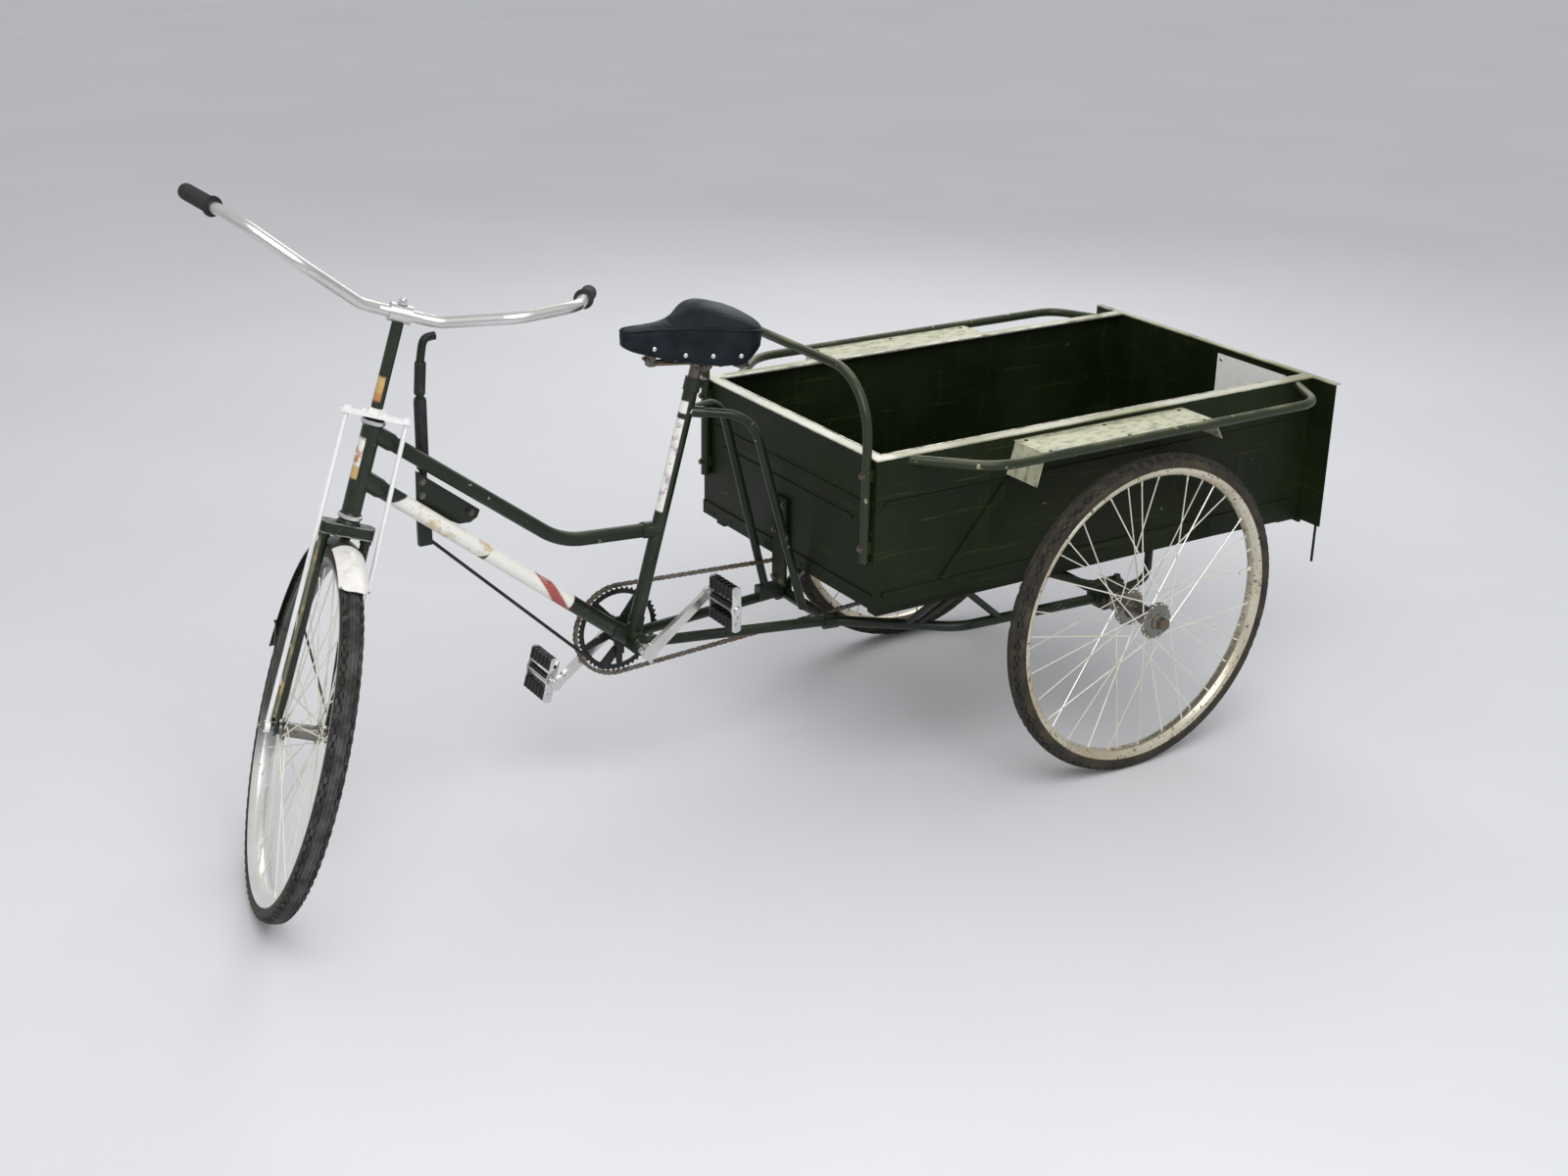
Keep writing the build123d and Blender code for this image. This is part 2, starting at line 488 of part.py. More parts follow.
for s, name in ((1, "box_side_left"), (-1, "box_side_right")):
    wall = plate_xz([(inner_front, FLOOR_Z), (inner_front, BOX_TOP), (BOX_REAR, BOX_TOP),
                     (BOX_REAR, SKIRT_REAR_Z)], inner_half, BOX_HALF)
    wall += block(BOX_REAR, inner_front, BOX_HALF - RIM_W, BOX_HALF, BOX_TOP - SHEET, BOX_TOP)
    for low, high in SIDE_RIBS:
        wall += block(RIB_REAR, RIB_FRONT, BOX_HALF, BOX_HALF + RIB_T, low, high)
    wall += plate_xz(SIDE_STAY, BOX_HALF, BOX_HALF + 5)
    nodes[name] = wall if s == 1 else mirror_y(wall)
front = block(inner_front, BOX_FRONT, -BOX_HALF, BOX_HALF, FLOOR_Z, BOX_TOP)
front += block(BOX_FRONT - RIM_W, BOX_FRONT, RIM_W - BOX_HALF, BOX_HALF - RIM_W, BOX_TOP - SHEET, BOX_TOP)
front += block(BOX_FRONT, BOX_FRONT + 3, -BOX_HALF, BOX_HALF, FLOOR_Z, FLOOR_Z + 30)
for low, high, reach in FRONT_RIBS:
    front += block(BOX_FRONT, BOX_FRONT + RIB_T, -reach, reach, low, high)
nodes["box_front"] = front
nodes["drop_plate"] = block(BOX_FRONT + 3, BOX_FRONT + 9, -30, 20, FLOOR_Z - 58, FLOOR_Z + 137)

# Tail board: wider than the box, hinged along its lower edge on two straps
KNUCKLE_R, HINGE_PIN_R = 6.0, 3.0
TAIL_FACE, TAIL_ROD_Y = BOX_REAR - SHEET, TAIL_HALF - 14
tail = block(TAIL_FACE, BOX_REAR, -TAIL_HALF, TAIL_HALF, SKIRT_REAR_Z, BOX_TOP)
tail += block(TAIL_FACE - 12, TAIL_FACE, -TAIL_HALF, TAIL_HALF, BOX_TOP - SHEET, BOX_TOP)
tail += rod((TAIL_FACE - 2, TAIL_ROD_Y, SKIRT_REAR_Z + 8), (TAIL_FACE - 2, TAIL_ROD_Y, SKIRT_REAR_Z - 88), 3)
hinges = []
for s in (1, -1):
    for y0, y1 in ((RAIL_Y - 34, RAIL_Y - 13), (RAIL_Y + 13, RAIL_Y + 34)):
        tail += rod((HINGE_X, s * y0, HINGE_Z), (HINGE_X, s * y1, HINGE_Z), KNUCKLE_R)
        tail += block(HINGE_X, TAIL_FACE, s * y0, s * y1, HINGE_Z, SKIRT_REAR_Z + 12)
        tail += block(TAIL_FACE - 3, TAIL_FACE, s * y0, s * y1, SKIRT_REAR_Z, SKIRT_REAR_Z + 120)
    y0, y1 = s * (RAIL_Y - 12), s * (RAIL_Y + 12)
    fixed = rod((HINGE_X, y0, HINGE_Z), (HINGE_X, y1, HINGE_Z), KNUCKLE_R)
    fixed += block(HINGE_X, BOX_REAR + 37, y0, y1, HINGE_Z - 6, HINGE_Z + 0.5)
    fixed += block(BOX_REAR + 17, BOX_REAR + 37, y0, y1, HINGE_Z - 6, BEARER_LOW)
    fixed += rod((HINGE_X, s * (RAIL_Y - 34), HINGE_Z), (HINGE_X, s * (RAIL_Y + 34), HINGE_Z), HINGE_PIN_R)
    hinges.append(fixed)
for s in (1, -1):
    tail -= rod((HINGE_X, s * (RAIL_Y - 46), HINGE_Z), (HINGE_X, s * (RAIL_Y + 44), HINGE_Z),
                HINGE_PIN_R + FIT)
nodes["tail_board"] = tail
nodes["tail_hinges"] = apart(*hinges)
nodes["blank_plate"] = block(BOX_REAR, BOX_REAR + 2, 35, 250, BOX_TOP - 135, BOX_TOP - 18)

# Side hoops over the wheels, and the mudguard plates between hoop and box
HOOP_ROOT = BOX_HALF - 29
HOOP = [(BOX_FRONT - 59, HOOP_ROOT), (430, HOOP_Y), (-430, HOOP_Y), (BOX_REAR + 32, HOOP_ROOT)]       # x, y
GUARD_FORE, GUARD_REAR = 300, -150                     # ends of a mudguard plate
FLAP_IN, FLAP_OUT = BOX_HALF + 6, HOOP_Y - 15
guard_low, guard_high = HOOP_Z - 1, HOOP_Z + 1
for s, side in ((1, "left"), (-1, "right")):
    hoop = bent([(x, y, HOOP_Z) for x, y in HOOP], HOOP_R, [120, 70])
    hoop -= block(BOX_REAR, BOX_FRONT, 0, BOX_HALF, HOOP_Z - 50, HOOP_Z + 50)
    guard = block(GUARD_REAR, GUARD_FORE, BOX_HALF, HOOP_Y - HOOP_R - SEAT, guard_low, guard_high)
    for x, lean, drop in ((GUARD_FORE, 18, 66), (GUARD_REAR, -26, 43)):
        guard += plate_xz([(x - 1, guard_high), (x + 1, guard_high), (x + lean + 1, HOOP_Z - drop),
                           (x + lean - 1, HOOP_Z - drop)], FLAP_IN, FLAP_OUT)
    nodes["side_hoop_" + side] = hoop if s == 1 else mirror_y(hoop)
    nodes["mudguard_" + side] = guard if s == 1 else mirror_y(guard)

# Rail arch on the front wall, held by four clamps
ARCH_FOOT, ARCH_BEND = FLOOR_Z + 97, 120.0
arch_x = BOX_FRONT + ARCH_R + SEAT
arch = bent([(arch_x, -ARCH_HALF, ARCH_FOOT), (arch_x, -ARCH_HALF, ARCH_TOP), (arch_x, ARCH_HALF, ARCH_TOP),
             (arch_x, ARCH_HALF, ARCH_FOOT)], ARCH_R, [ARCH_BEND, ARCH_BEND])
for s in (1, -1):
    for z in (ARCH_FOOT + 30, BOX_TOP - 35):
        arch += block(BOX_FRONT, arch_x, s * ARCH_HALF - 9, s * ARCH_HALF + 9, z - 12, z + 12)
nodes["front_arch"] = arch

# Saddle: a crowned cover lofted nose to tail over a hollow underside. Heights
# are above the top of the seat tube
SADDLE = [(1004, 20, 97, 70), (960, 26, 102, 60), (905, 36, 114, 50),        # x, half width, top, low
          (850, 70, 140, 36), (785, 104, 146, 24), (735, 98, 128, 24), (708, 70, 97, 37)]
sections = []
for x, w, top, low in SADDLE:
    side = max(0.4 * (top - low), top - low - 0.95 * w)
    z0, z1, z2 = (SEAT_TOP[1] + z for z in (low, low + side, top))
    a, b, c, d, crest = (Vector(x, y, z) for y, z in ((-w, z0), (-w, z1), (w, z1), (w, z0), (0, z2)))
    sections.append(Wire([Edge.make_line(a, b), Edge.make_three_point_arc(b, crest, c),
                          Edge.make_line(c, d), Edge.make_line(d, a)]))
POCKET = [(968, 8), (905, 20), (850, 48), (790, 82), (742, 74)]       # x, half width
outline = POCKET + [(x, -y) for x, y in reversed(POCKET)]
pocket = plate_xy(outline, SEAT_TOP[1] - 8, SEAT_TOP[1] + 68)
nodes["saddle"] = Solid.make_loft(sections, True) - pocket

# Saddle frame: post, clamp, two rails, nose bridge and two coil springs
POST_R, COIL_R, COIL_Y, COIL_X, COILS = 12.5, 16.0, 48.0, 772.0, 5
NOSE_X = 948.0             # bridge below the saddle's nose
post_top = along(bb3, seat3, (Vector(*seat3) - Vector(*bb3)).length + 34)
coil_low, coil_top = SEAT_TOP[1] + 27, SEAT_TOP[1] + 68
coil = [(COIL_R - 4, coil_low), (COIL_R - 4, coil_top)]
for i in range(COILS):
    z = coil_top - (i + 0.5) * (coil_top - coil_low) / COILS
    coil += [(COIL_R - 3, z + 3), (COIL_R, z + 1.5), (COIL_R, z - 1.5), (COIL_R - 3, z - 3)]
coil = [(4, coil_low), (4, coil_top)] + coil[1:] + coil[:1]
clamp_x, _, clamp_z = post_top
base = one(rod(seat3, post_top, POST_R), rod((clamp_x, -30, clamp_z), (clamp_x, 30, clamp_z), 15),
           rod((COIL_X, -COIL_Y, clamp_z), (COIL_X, COIL_Y, clamp_z), 5),
           block(NOSE_X - 8, NOSE_X + 8, -10, 10, clamp_z, coil_top))
for s in (1, -1):
    base += rod((COIL_X - 22, s * 22, clamp_z), (NOSE_X + 2, s * 9, clamp_z + 8), 4)
    base += Pos(COIL_X, s * COIL_Y, 0) * turned_up(coil)
nodes["saddle_frame"] = base

# Brake lever and its rod, beside the frame tubes on the right. The lever is a
# bent bar with a pivot eye; its points are (x, z) up and down from the axle
LEVER_Y, LEVER_R = -29.3, 8.0
LEVER = [(1384, 681), (1404, 679), (1429, 575), (1438, 401), (1436, 293)]
ROD_FOOT = (1050, LEVER_Y, AXLE_Z - 63)
lever = bent([(x, LEVER_Y, AXLE_Z + z) for x, z in LEVER], LEVER_R, [16, 60, 60])
eye = (1436, LEVER_Y, AXLE_Z + 297)
crank_arm = plate_xz([(1040, AXLE_Z - 69), (1056, AXLE_Z - 55), (1022, AXLE_Z - 21), (1002, AXLE_Z - 25)],
                     LEVER_Y - 7.2, LEVER_Y - 0.7)
nodes["brake_linkage"] = one(lever, rod((eye[0], LEVER_Y, eye[2] + 3), ROD_FOOT, 3.5),
                             rod((eye[0], LEVER_Y - 9, eye[2]), (eye[0], LEVER_Y + 7, eye[2]), 9), crank_arm)
BRACKET = [(1452, 435), (1452, 357), (1322, 261), (1306, 279), (1340, 313), (1426, 405)]
nodes["brake_bracket"] = plate_xz([(x, AXLE_Z + z) for x, z in BRACKET], LEVER_Y + LEVER_R + SEAT, -16.3)

# Steered parts, drawn straight ahead with the steering axis along z, then
# turned into place
STEERED = Plane(origin=Vector(*head_point(0)), x_dir=F_DIR, z_dir=S_DIR)
local = {}
local["front_tyre"] = Pos(RAKE, 0, 0) * tyre
local["front_wheel"] = Pos(RAKE, 0, 0) * front_wheel

# Fork: a rounded crown with short sockets, two bent blades, slotted ends and
# the steerer with its lower race and top cup
BLADE_R = 9.0
BLADE = [(2, 38.5, CROWN_LOW + 4), (3, 39, CROWN_LOW - 174), (34, 47, 50), (RAKE, 48.5, 20)]
END_PLATE = [(-14, 34), (12, 34), (13, -6), (6, -14), (-6, -14), (-13, -6)]
crown = Pos(1, 0, CROWN_LOW) * extrude(RectangleRounded(32, 100, 12), amount=CROWN_TOP - CROWN_LOW)
fork = one(crown, rod((0, 0, CROWN_TOP - 2), (0, 0, PLATE_LOW), STEERER_R),
           turned_up([(5, CROWN_TOP - 1), (22, CROWN_TOP - 1), (22, CROWN_TOP + 3), (18, HEAD_LOW - 0.5),
                      (5, HEAD_LOW - 0.5)]),
           turned_up([(5, HEAD_TOP + 0.5), (18, HEAD_TOP + 0.5), (19.5, HEAD_TOP + 3), (19.5, PLATE_LOW),
                      (5, PLATE_LOW)]))
for s in (1, -1):
    blade = bent([(x, s * y, z) for x, y, z in BLADE], BLADE_R, [200, 60])
    collar = rod((2, s * 38.5, CROWN_LOW - 8), (2, s * 38.5, CROWN_LOW + 2), BLADE_R + 2)
    end = plate_xz([(RAKE + x, z) for x, z in END_PLATE], s * 46, s * 51)
    fork = one(fork, blade, collar, end)
local["fork"] = fork - rod((RAKE, -60, 0), (RAKE, 60, 0), PEDAL_PIN_R + FIT)

# Top plate and the two truss rods that run down to the axle ends
TRUSS_R, EYE_R, EYE_HALF = 4.5, 11.0, 5.0
half_plate = [(-20, 24), (4, 24), (8, ROD_TOP_A + 7), (22, ROD_TOP_A + 11), (28, ROD_TOP_A + 3)]
PLATE = half_plate + [(x, -y) for x, y in reversed(half_plate)]
truss = plate_xy(PLATE, PLATE_LOW, PLATE_TOP)
for s in (1, -1):
    truss += rod((ROD_TOP_B, s * ROD_TOP_A, PLATE_TOP + 6), (RAKE, s * ROD_LOW_A, 6), TRUSS_R)
    truss += nut((ROD_TOP_B, s * ROD_TOP_A, PLATE_TOP), (0, 0, 1), 8, 5)
    truss += rod((RAKE, s * (ROD_LOW_A - EYE_HALF), 0), (RAKE, s * (ROD_LOW_A + EYE_HALF), 0), EYE_R)
truss += nut((0, 0, PLATE_TOP), (0, 0, 1), 17, 9)
local["truss_rods"] = truss - rod((RAKE, -90, 0), (RAKE, 90, 0), PEDAL_PIN_R + FIT)

# Front axle with spacers and nuts as (inner face, outer face, radius)
AXLE_NUTS = [(51, 56, 9), (56, ROD_LOW_A - EYE_HALF - 0.1, 7),
             (ROD_LOW_A + EYE_HALF + 0.1, ROD_LOW_A + EYE_HALF + 6, 9)]
spindle = rod((RAKE, -AXLE_END, 0), (RAKE, AXLE_END, 0), PEDAL_PIN_R)
for s in (1, -1):
    for y0, y1, r in AXLE_NUTS:
        spindle += nut((RAKE, s * y0, 0), (0, s, 0), r, y1 - y0)
    spindle += rod((RAKE, s * 44.3, 0), (RAKE, s * 46, 0), 8)
local["front_axle"] = spindle

# Stem with its bar clamp, the handlebar and two grips
STEM_R, CLAMP_R, CLAMP_HALF = 11.0, 17.0, 20.0
stem = rod((0, 0, PLATE_TOP + 9), (0, 0, BAR_T - 6), STEM_R)
stem += rod((0, -CLAMP_HALF, BAR_T), (0, CLAMP_HALF, BAR_T), CLAMP_R)
local["stem"] = stem - rod((0, -30, BAR_T), (0, 30, BAR_T), BAR_R + SEAT)
left = [(x, y, BAR_T + z) for x, y, z in BAR]
grip_start = along(left[3], left[2], GRIP)
points = [grip_start, left[2], left[1], left[0], (0, 40, BAR_T)]
points += [(x, -y, z) for x, y, z in reversed(points)]
local["handlebar"] = bent(points, BAR_R, [60, 70, 60, 8, 8, 60, 70, 60])
grip = rod(grip_start, left[3], GRIP_R)
local["grips"] = apart(grip, mirror_y(grip))

# Front mudguard: a rolled blade over the wheel with two wire stays
GUARD_T, GUARD_HALF, GUARD_DROP = 1.8, 27.0, 11.0
GUARD_FRONT, GUARD_BACK, STAY_DEG = 27.0, -83.0, -74.0
WIRE_R, EYELET = 2.4, (-10, 12)           # a stay's eye on the fork end, from the axle as (x, z)


def guard_arc(inset):
    edge_r, edge_y = GUARD_R - GUARD_DROP - inset * 0.6, GUARD_HALF - inset * 0.8
    return [Vector(0, -edge_y, edge_r), Vector(0, 0, GUARD_R - inset), Vector(0, edge_y, edge_r)]


outer, inner = guard_arc(0), guard_arc(GUARD_T)
face = Face(Wire([Edge.make_three_point_arc(*outer), Edge.make_line(outer[2], inner[2]),
                  Edge.make_three_point_arc(*reversed(inner)), Edge.make_line(inner[0], outer[0])]))
guard = Pos(RAKE, 0, 0) * revolve(Rot(0, GUARD_BACK, 0) * face, Axis.Y, GUARD_FRONT - GUARD_BACK)
bracket_top = math.sqrt(GUARD_R ** 2 - (RAKE + 7) ** 2)
guard += block(-14, 0, -9, 9, bracket_top - 3, CROWN_LOW)
stay_t = math.radians(STAY_DEG)
for s in (1, -1):
    foot = (RAKE + (GUARD_R - 9) * math.sin(stay_t), s * (GUARD_HALF + 0.5), (GUARD_R - 9) * math.cos(stay_t))
    guard += rod(foot, (RAKE + EYELET[0], s * (51 + WIRE_R + 0.6), EYELET[1]), WIRE_R)
    guard += rod((RAKE + EYELET[0], s * 51, EYELET[1]), (RAKE + EYELET[0], s * 56.5, EYELET[1]), 4)
local["front_mudguard"] = guard

for name, solid in local.items():
    nodes[name] = STEERED.location * solid

# Move the whole so that the origin is under the middle of its outside box
boxes = [n.bounding_box() for n in nodes.values()]
low = [min(getattr(b.min, k) for b in boxes) for k in "XYZ"]
high = [max(getattr(b.max, k) for b in boxes) for k in "XYZ"]
SHIFT = (-(low[0] + high[0]) / 2, -(low[1] + high[1]) / 2, -low[2])

os.makedirs("parts", exist_ok=True)
for name, solid in nodes.items():
    export_step(Pos(*SHIFT) * solid, "parts/" + name + ".step")
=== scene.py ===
import json
import math

import bmesh
import bpy
from mathutils import Matrix, Vector
from mathutils.bvhtree import BVHTree


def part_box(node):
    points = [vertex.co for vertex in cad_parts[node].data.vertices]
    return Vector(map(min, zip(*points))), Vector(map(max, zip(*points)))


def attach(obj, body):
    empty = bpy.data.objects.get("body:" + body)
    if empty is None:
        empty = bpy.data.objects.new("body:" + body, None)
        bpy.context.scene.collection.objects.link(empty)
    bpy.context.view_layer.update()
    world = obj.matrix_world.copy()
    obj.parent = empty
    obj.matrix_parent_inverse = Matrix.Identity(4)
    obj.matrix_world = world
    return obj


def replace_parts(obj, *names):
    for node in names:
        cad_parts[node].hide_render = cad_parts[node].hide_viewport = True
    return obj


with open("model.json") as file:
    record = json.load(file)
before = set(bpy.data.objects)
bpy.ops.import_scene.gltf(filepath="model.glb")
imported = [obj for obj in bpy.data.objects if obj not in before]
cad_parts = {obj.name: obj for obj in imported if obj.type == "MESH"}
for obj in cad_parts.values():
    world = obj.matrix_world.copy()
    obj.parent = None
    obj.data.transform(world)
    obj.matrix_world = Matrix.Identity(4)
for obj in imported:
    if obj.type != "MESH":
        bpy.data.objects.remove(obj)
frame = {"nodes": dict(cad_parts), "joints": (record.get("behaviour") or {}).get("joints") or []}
nodes = frame["nodes"]
joints = {joint["name"]: joint for joint in frame["joints"]}
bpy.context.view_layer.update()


# Camera, floor and light
# The tricycle stands on a pale studio floor under a broad soft lamp and a weaker
# one behind it, and the camera looks down on its left front corner.
CAMERA_AT = Vector((2.1402, 3.3606, 2.0240))
CAMERA_YAW, CAMERA_PITCH, CAMERA_ROLL = map(math.radians, (-122.75, -22.19, 0.97))
LENS = 46.76
FLOOR_HALF = 40.0
WORLD_LIGHT = 0.66
LAMPS = (  # name, place, size and power
    ("broad_lamp", Vector((1.2, 2.6, 3.6)), 3.0, 110),
    ("back_lamp", Vector((-2.4, -2.8, 3.0)), 2.4, 45))

eye = bpy.data.objects.new("camera", bpy.data.cameras.new("camera"))
bpy.context.collection.objects.link(eye)
ahead = Vector((math.cos(CAMERA_PITCH) * math.cos(CAMERA_YAW),
                math.cos(CAMERA_PITCH) * math.sin(CAMERA_YAW), math.sin(CAMERA_PITCH)))
level = Vector((math.sin(CAMERA_YAW), -math.cos(CAMERA_YAW), 0))
upright = level.cross(ahead)
right = level * math.cos(CAMERA_ROLL) + upright * math.sin(CAMERA_ROLL)
over = upright * math.cos(CAMERA_ROLL) - level * math.sin(CAMERA_ROLL)
eye.matrix_world = Matrix.Translation(CAMERA_AT) @ Matrix((right, over, -ahead)).transposed().to_4x4()
eye.data.lens = LENS
eye.data.sensor_fit = "HORIZONTAL"
eye.data.clip_end = 200
bpy.context.scene.camera = eye
bpy.context.scene.view_settings.view_transform = "Standard"


class Shade:
    """One output of a shader node, on which sums and products add Math nodes."""

    def __init__(self, socket):
        self.socket = socket

    def node(self, kind, settings, values, out=0):
        made = self.socket.id_data.nodes.new("ShaderNode" + kind)
        for name, value in settings.items():
            setattr(made, name, value)
        for name, value in values.items():
            if isinstance(value, Shade):
                self.socket.id_data.links.new(value.socket, made.inputs[name])
            else:
                made.inputs[name].default_value = value
        return Shade(made.outputs[out])

    def maths(self, operation, first, second):
        return self.node("Math", {"operation": operation}, {0: first, 1: second})

    def __add__(self, other):
        return self.maths("ADD", self, other)

    def __sub__(self, other):
        return self.maths("SUBTRACT", self, other)

    def __rsub__(self, other):
        return self.maths("SUBTRACT", other, self)

    def __mul__(self, other):
        return self.maths("MULTIPLY", self, other)

    def noise(self, scale, detail=3.0, rough=0.55):
        return self.node("TexNoise", {}, {"Vector": self, "Scale": scale, "Detail": detail,
                                          "Roughness": rough})

    def between(self, low, high):
        return self.node("MapRange", {"interpolation_type": "SMOOTHSTEP"},
                         {"Value": self, "From Min": low, "From Max": high})

    def blend(self, off, on):
        return self.node("Mix", {"data_type": "RGBA"}, {0: self, 6: off, 7: on}, out=2)

    def part(self, axis):
        return self.node("SeparateXYZ", {}, {0: self}, out=axis)

    def along(self, start, way):
        offset = self.node("VectorMath", {"operation": "SUBTRACT"}, {0: self, 1: start})
        return offset.node("VectorMath", {"operation": "DOT_PRODUCT"}, {0: offset, 1: way}, out="Value")

    def stretched(self, x, y, z):
        return self.node("Mapping", {}, {"Vector": self, "Scale": (x, y, z)})


def tone(red, green, blue):
    return (red, green, blue, 1.0)


def finish_of(name, **constants):
    material = bpy.data.materials.new(name)
    material.use_nodes = True
    shader = material.node_tree.nodes["Principled BSDF"]
    for socket, value in constants.items():
        shader.inputs[socket.replace("_", " ")].default_value = value
    place = Shade(material.node_tree.nodes.new("ShaderNodeTexCoord").outputs["Object"])
    return material, place


def feed(material, **links):
    shader = material.node_tree.nodes["Principled BSDF"]
    for socket, shade in links.items():
        material.node_tree.links.new(shade.socket, shader.inputs[socket.replace("_", " ")])


def relief(place, height, distance):
    return place.node("Bump", {}, {"Height": height, "Distance": distance, "Strength": 0.6})


def piece_from(name, shape, *materials):
    mesh = bpy.data.meshes.new(name)
    shape.to_mesh(mesh)
    shape.free()
    for material in materials:
        mesh.materials.append(material)
    mesh.shade_smooth()
    mesh.set_sharp_from_angle(angle=math.radians(38))
    made = bpy.data.objects.new(name, mesh)
    bpy.context.collection.objects.link(made)
    return made


screed, place = finish_of("pale_screed", Specular_IOR_Level=0.2)
patches = place.noise(0.9, 6).between(0.3, 0.75)
feed(screed, Base_Color=patches.blend(tone(0.68, 0.69, 0.715), tone(0.71, 0.72, 0.742)),
     Roughness=place.noise(30).between(0.2, 0.8) * 0.2 + 0.6,
     Normal=relief(place, place.noise(90, 4), 0.0004))
shape = bmesh.new()
bmesh.ops.create_grid(shape, x_segments=4, y_segments=4, size=FLOOR_HALF)
floor = piece_from("studio_floor", shape, screed)

world = bpy.data.worlds.new("studio")
bpy.context.scene.world = world
world.use_nodes = True
sky = world.node_tree.nodes["Background"]
sky.inputs["Strength"].default_value = WORLD_LIGHT
up = Shade(world.node_tree.nodes.new("ShaderNodeTexCoord").outputs["Generated"]).part(2)
pale = up.between(-0.1, 0.7).blend(tone(0.80, 0.82, 0.86), tone(1.0, 1.0, 1.0))
world.node_tree.links.new(pale.socket, sky.inputs["Color"])

for name, place, size, power in LAMPS:
    lamp = bpy.data.objects.new(name, bpy.data.lights.new(name, "AREA"))
    bpy.context.collection.objects.link(lamp)
    lamp.data.size = size
    lamp.data.energy = power
    aim = (place - Vector((0, 0, 0.4))).to_track_quat("Z", "Y").to_matrix().to_4x4()
    lamp.matrix_world = Matrix.Translation(place) @ aim


# Enamelled frame tubes
# Brazed steel tubes and lugs in dark green stove enamel, nearly black, chipped
# to bare steel here and there, and lighter on the upper sides with dust and a
# painted highlight.
REAR_AXLE = Vector(joints["rear_left_turn"]["pos_m"])
BLACK_GREEN = tone(0.009, 0.014, 0.007)
BARE_STEEL = tone(0.30, 0.27, 0.22)
OLIVE_DUST_AND_HIGHLIGHT = tone(0.13, 0.14, 0.085)


def at(x, y, z):
    return Vector((REAR_AXLE.x + x, y, z))


def enamel(name, paint, bare, dust_and_highlight, chips=0.68):
    material, place = finish_of(name, Coat_Roughness=0.2, Specular_IOR_Level=0.25)
    flakes = place.noise(55, 6).between(chips, chips + 0.03)
    film = place.noise(9, 5).between(0.35, 0.8)
    geometry = material.node_tree.nodes.new("ShaderNodeNewGeometry")
    lying = Shade(geometry.outputs["Normal"]).part(2).between(0.55, 1.0)
    coated = (film * 0.45).blend(paint, tone(*[c * 1.7 + 0.004 for c in paint[:3]]))
    # Faces turned upward blend toward the dust tone, which is both dust and a painted highlight on the upper
    # sides.
    dust_and_painted_light = (lying * film * 0.5).blend(coated, dust_and_highlight)
    feed(material, Base_Color=flakes.blend(dust_and_painted_light, bare), Metallic=flakes * 0.7,
         Roughness=film * 0.2 + lying * 0.15 + 0.32, Coat_Weight=0.2 - film * 0.15,
         Normal=relief(place, place.noise(140, 2) * 0.3 - flakes, 0.0004))
    return material


def dress(material, *names):
    for name in names:
        mesh = nodes[name].data
        mesh.materials.clear()
        mesh.materials.append(material)


frame_enamel = enamel("frame_enamel", BLACK_GREEN, BARE_STEEL, OLIVE_DUST_AND_HIGHLIGHT)
dress(frame_enamel, "bottom_bracket", "seat_stays", "top_tube", "chassis")

# Down tube
# The same tube under a long white panel whose lacquer has gone yellow toward
# the head, with a slanting red band near its lower end.
BRACKET = at(0.998, 0, 0.358)
DOWN_TUBE_TOP = at(1.551, 0, 0.802)
CREAM = tone(0.78, 0.77, 0.72)
STAIN = tone(0.60, 0.50, 0.30)
BRICK_RED = tone(0.36, 0.08, 0.07)


# each band: from, to, slant, soft edge, side that shows it, colour, its mottling and how scarce that is
def painted_tube(name, start, way, across, bands):
    material, place = finish_of(name, Coat_Roughness=0.15, Specular_IOR_Level=0.3)
    facing = Shade(material.node_tree.nodes.new("ShaderNodeTexCoord").outputs["Normal"])
    reach, lift = place.along(start, way), place.along(start, across)
    ragged = place.noise(70, 4) * 0.004 + reach - 0.002
    colour = place.noise(9, 5).between(0.35, 0.8).blend(BLACK_GREEN, tone(0.020, 0.028, 0.014))
    for low, high, slant, edge, side, plain, mottled, scarce in bands:
        leaning = ragged - lift * slant
        inside = leaning.between(low - edge, low + edge) * (1 - leaning.between(high - edge, high + edge))
        if side:
            inside = inside * facing.along((0, 0, 0), side).between(0.45, 0.6) * lift.between(-0.006, -0.002)
        mottle = place.noise(38, 5, 0.6).between(scarce, scarce + 0.18)
        colour = inside.blend(colour, mottle.blend(plain, mottled))
    scuffs = place.stretched(1, 1, 3).noise(90, 5).between(0.66, 0.69)
    feed(material, Base_Color=scuffs.blend(colour, tone(0.10, 0.08, 0.06)),
         Roughness=place.noise(20) * 0.25 + 0.25, Coat_Weight=place.noise(14) * 0.5,
         Normal=relief(place, place.noise(130, 2) - scuffs, 0.0003))
    return material


down_way = (DOWN_TUBE_TOP - BRACKET).normalized()
down_across = Vector((-down_way.z, 0, down_way.x))
dress(painted_tube("down_tube_panel", BRACKET, down_way, down_across, (
    (0.178, 0.400, 0.0, 0.002, None, CREAM, STAIN, 0.64),
    (0.400, 0.622, -0.9, 0.003, None, CREAM, STAIN, 0.50),
    (0.204, 0.252, 2.2, 0.006, None, BRICK_RED, CREAM, 0.60))), "down_tube")

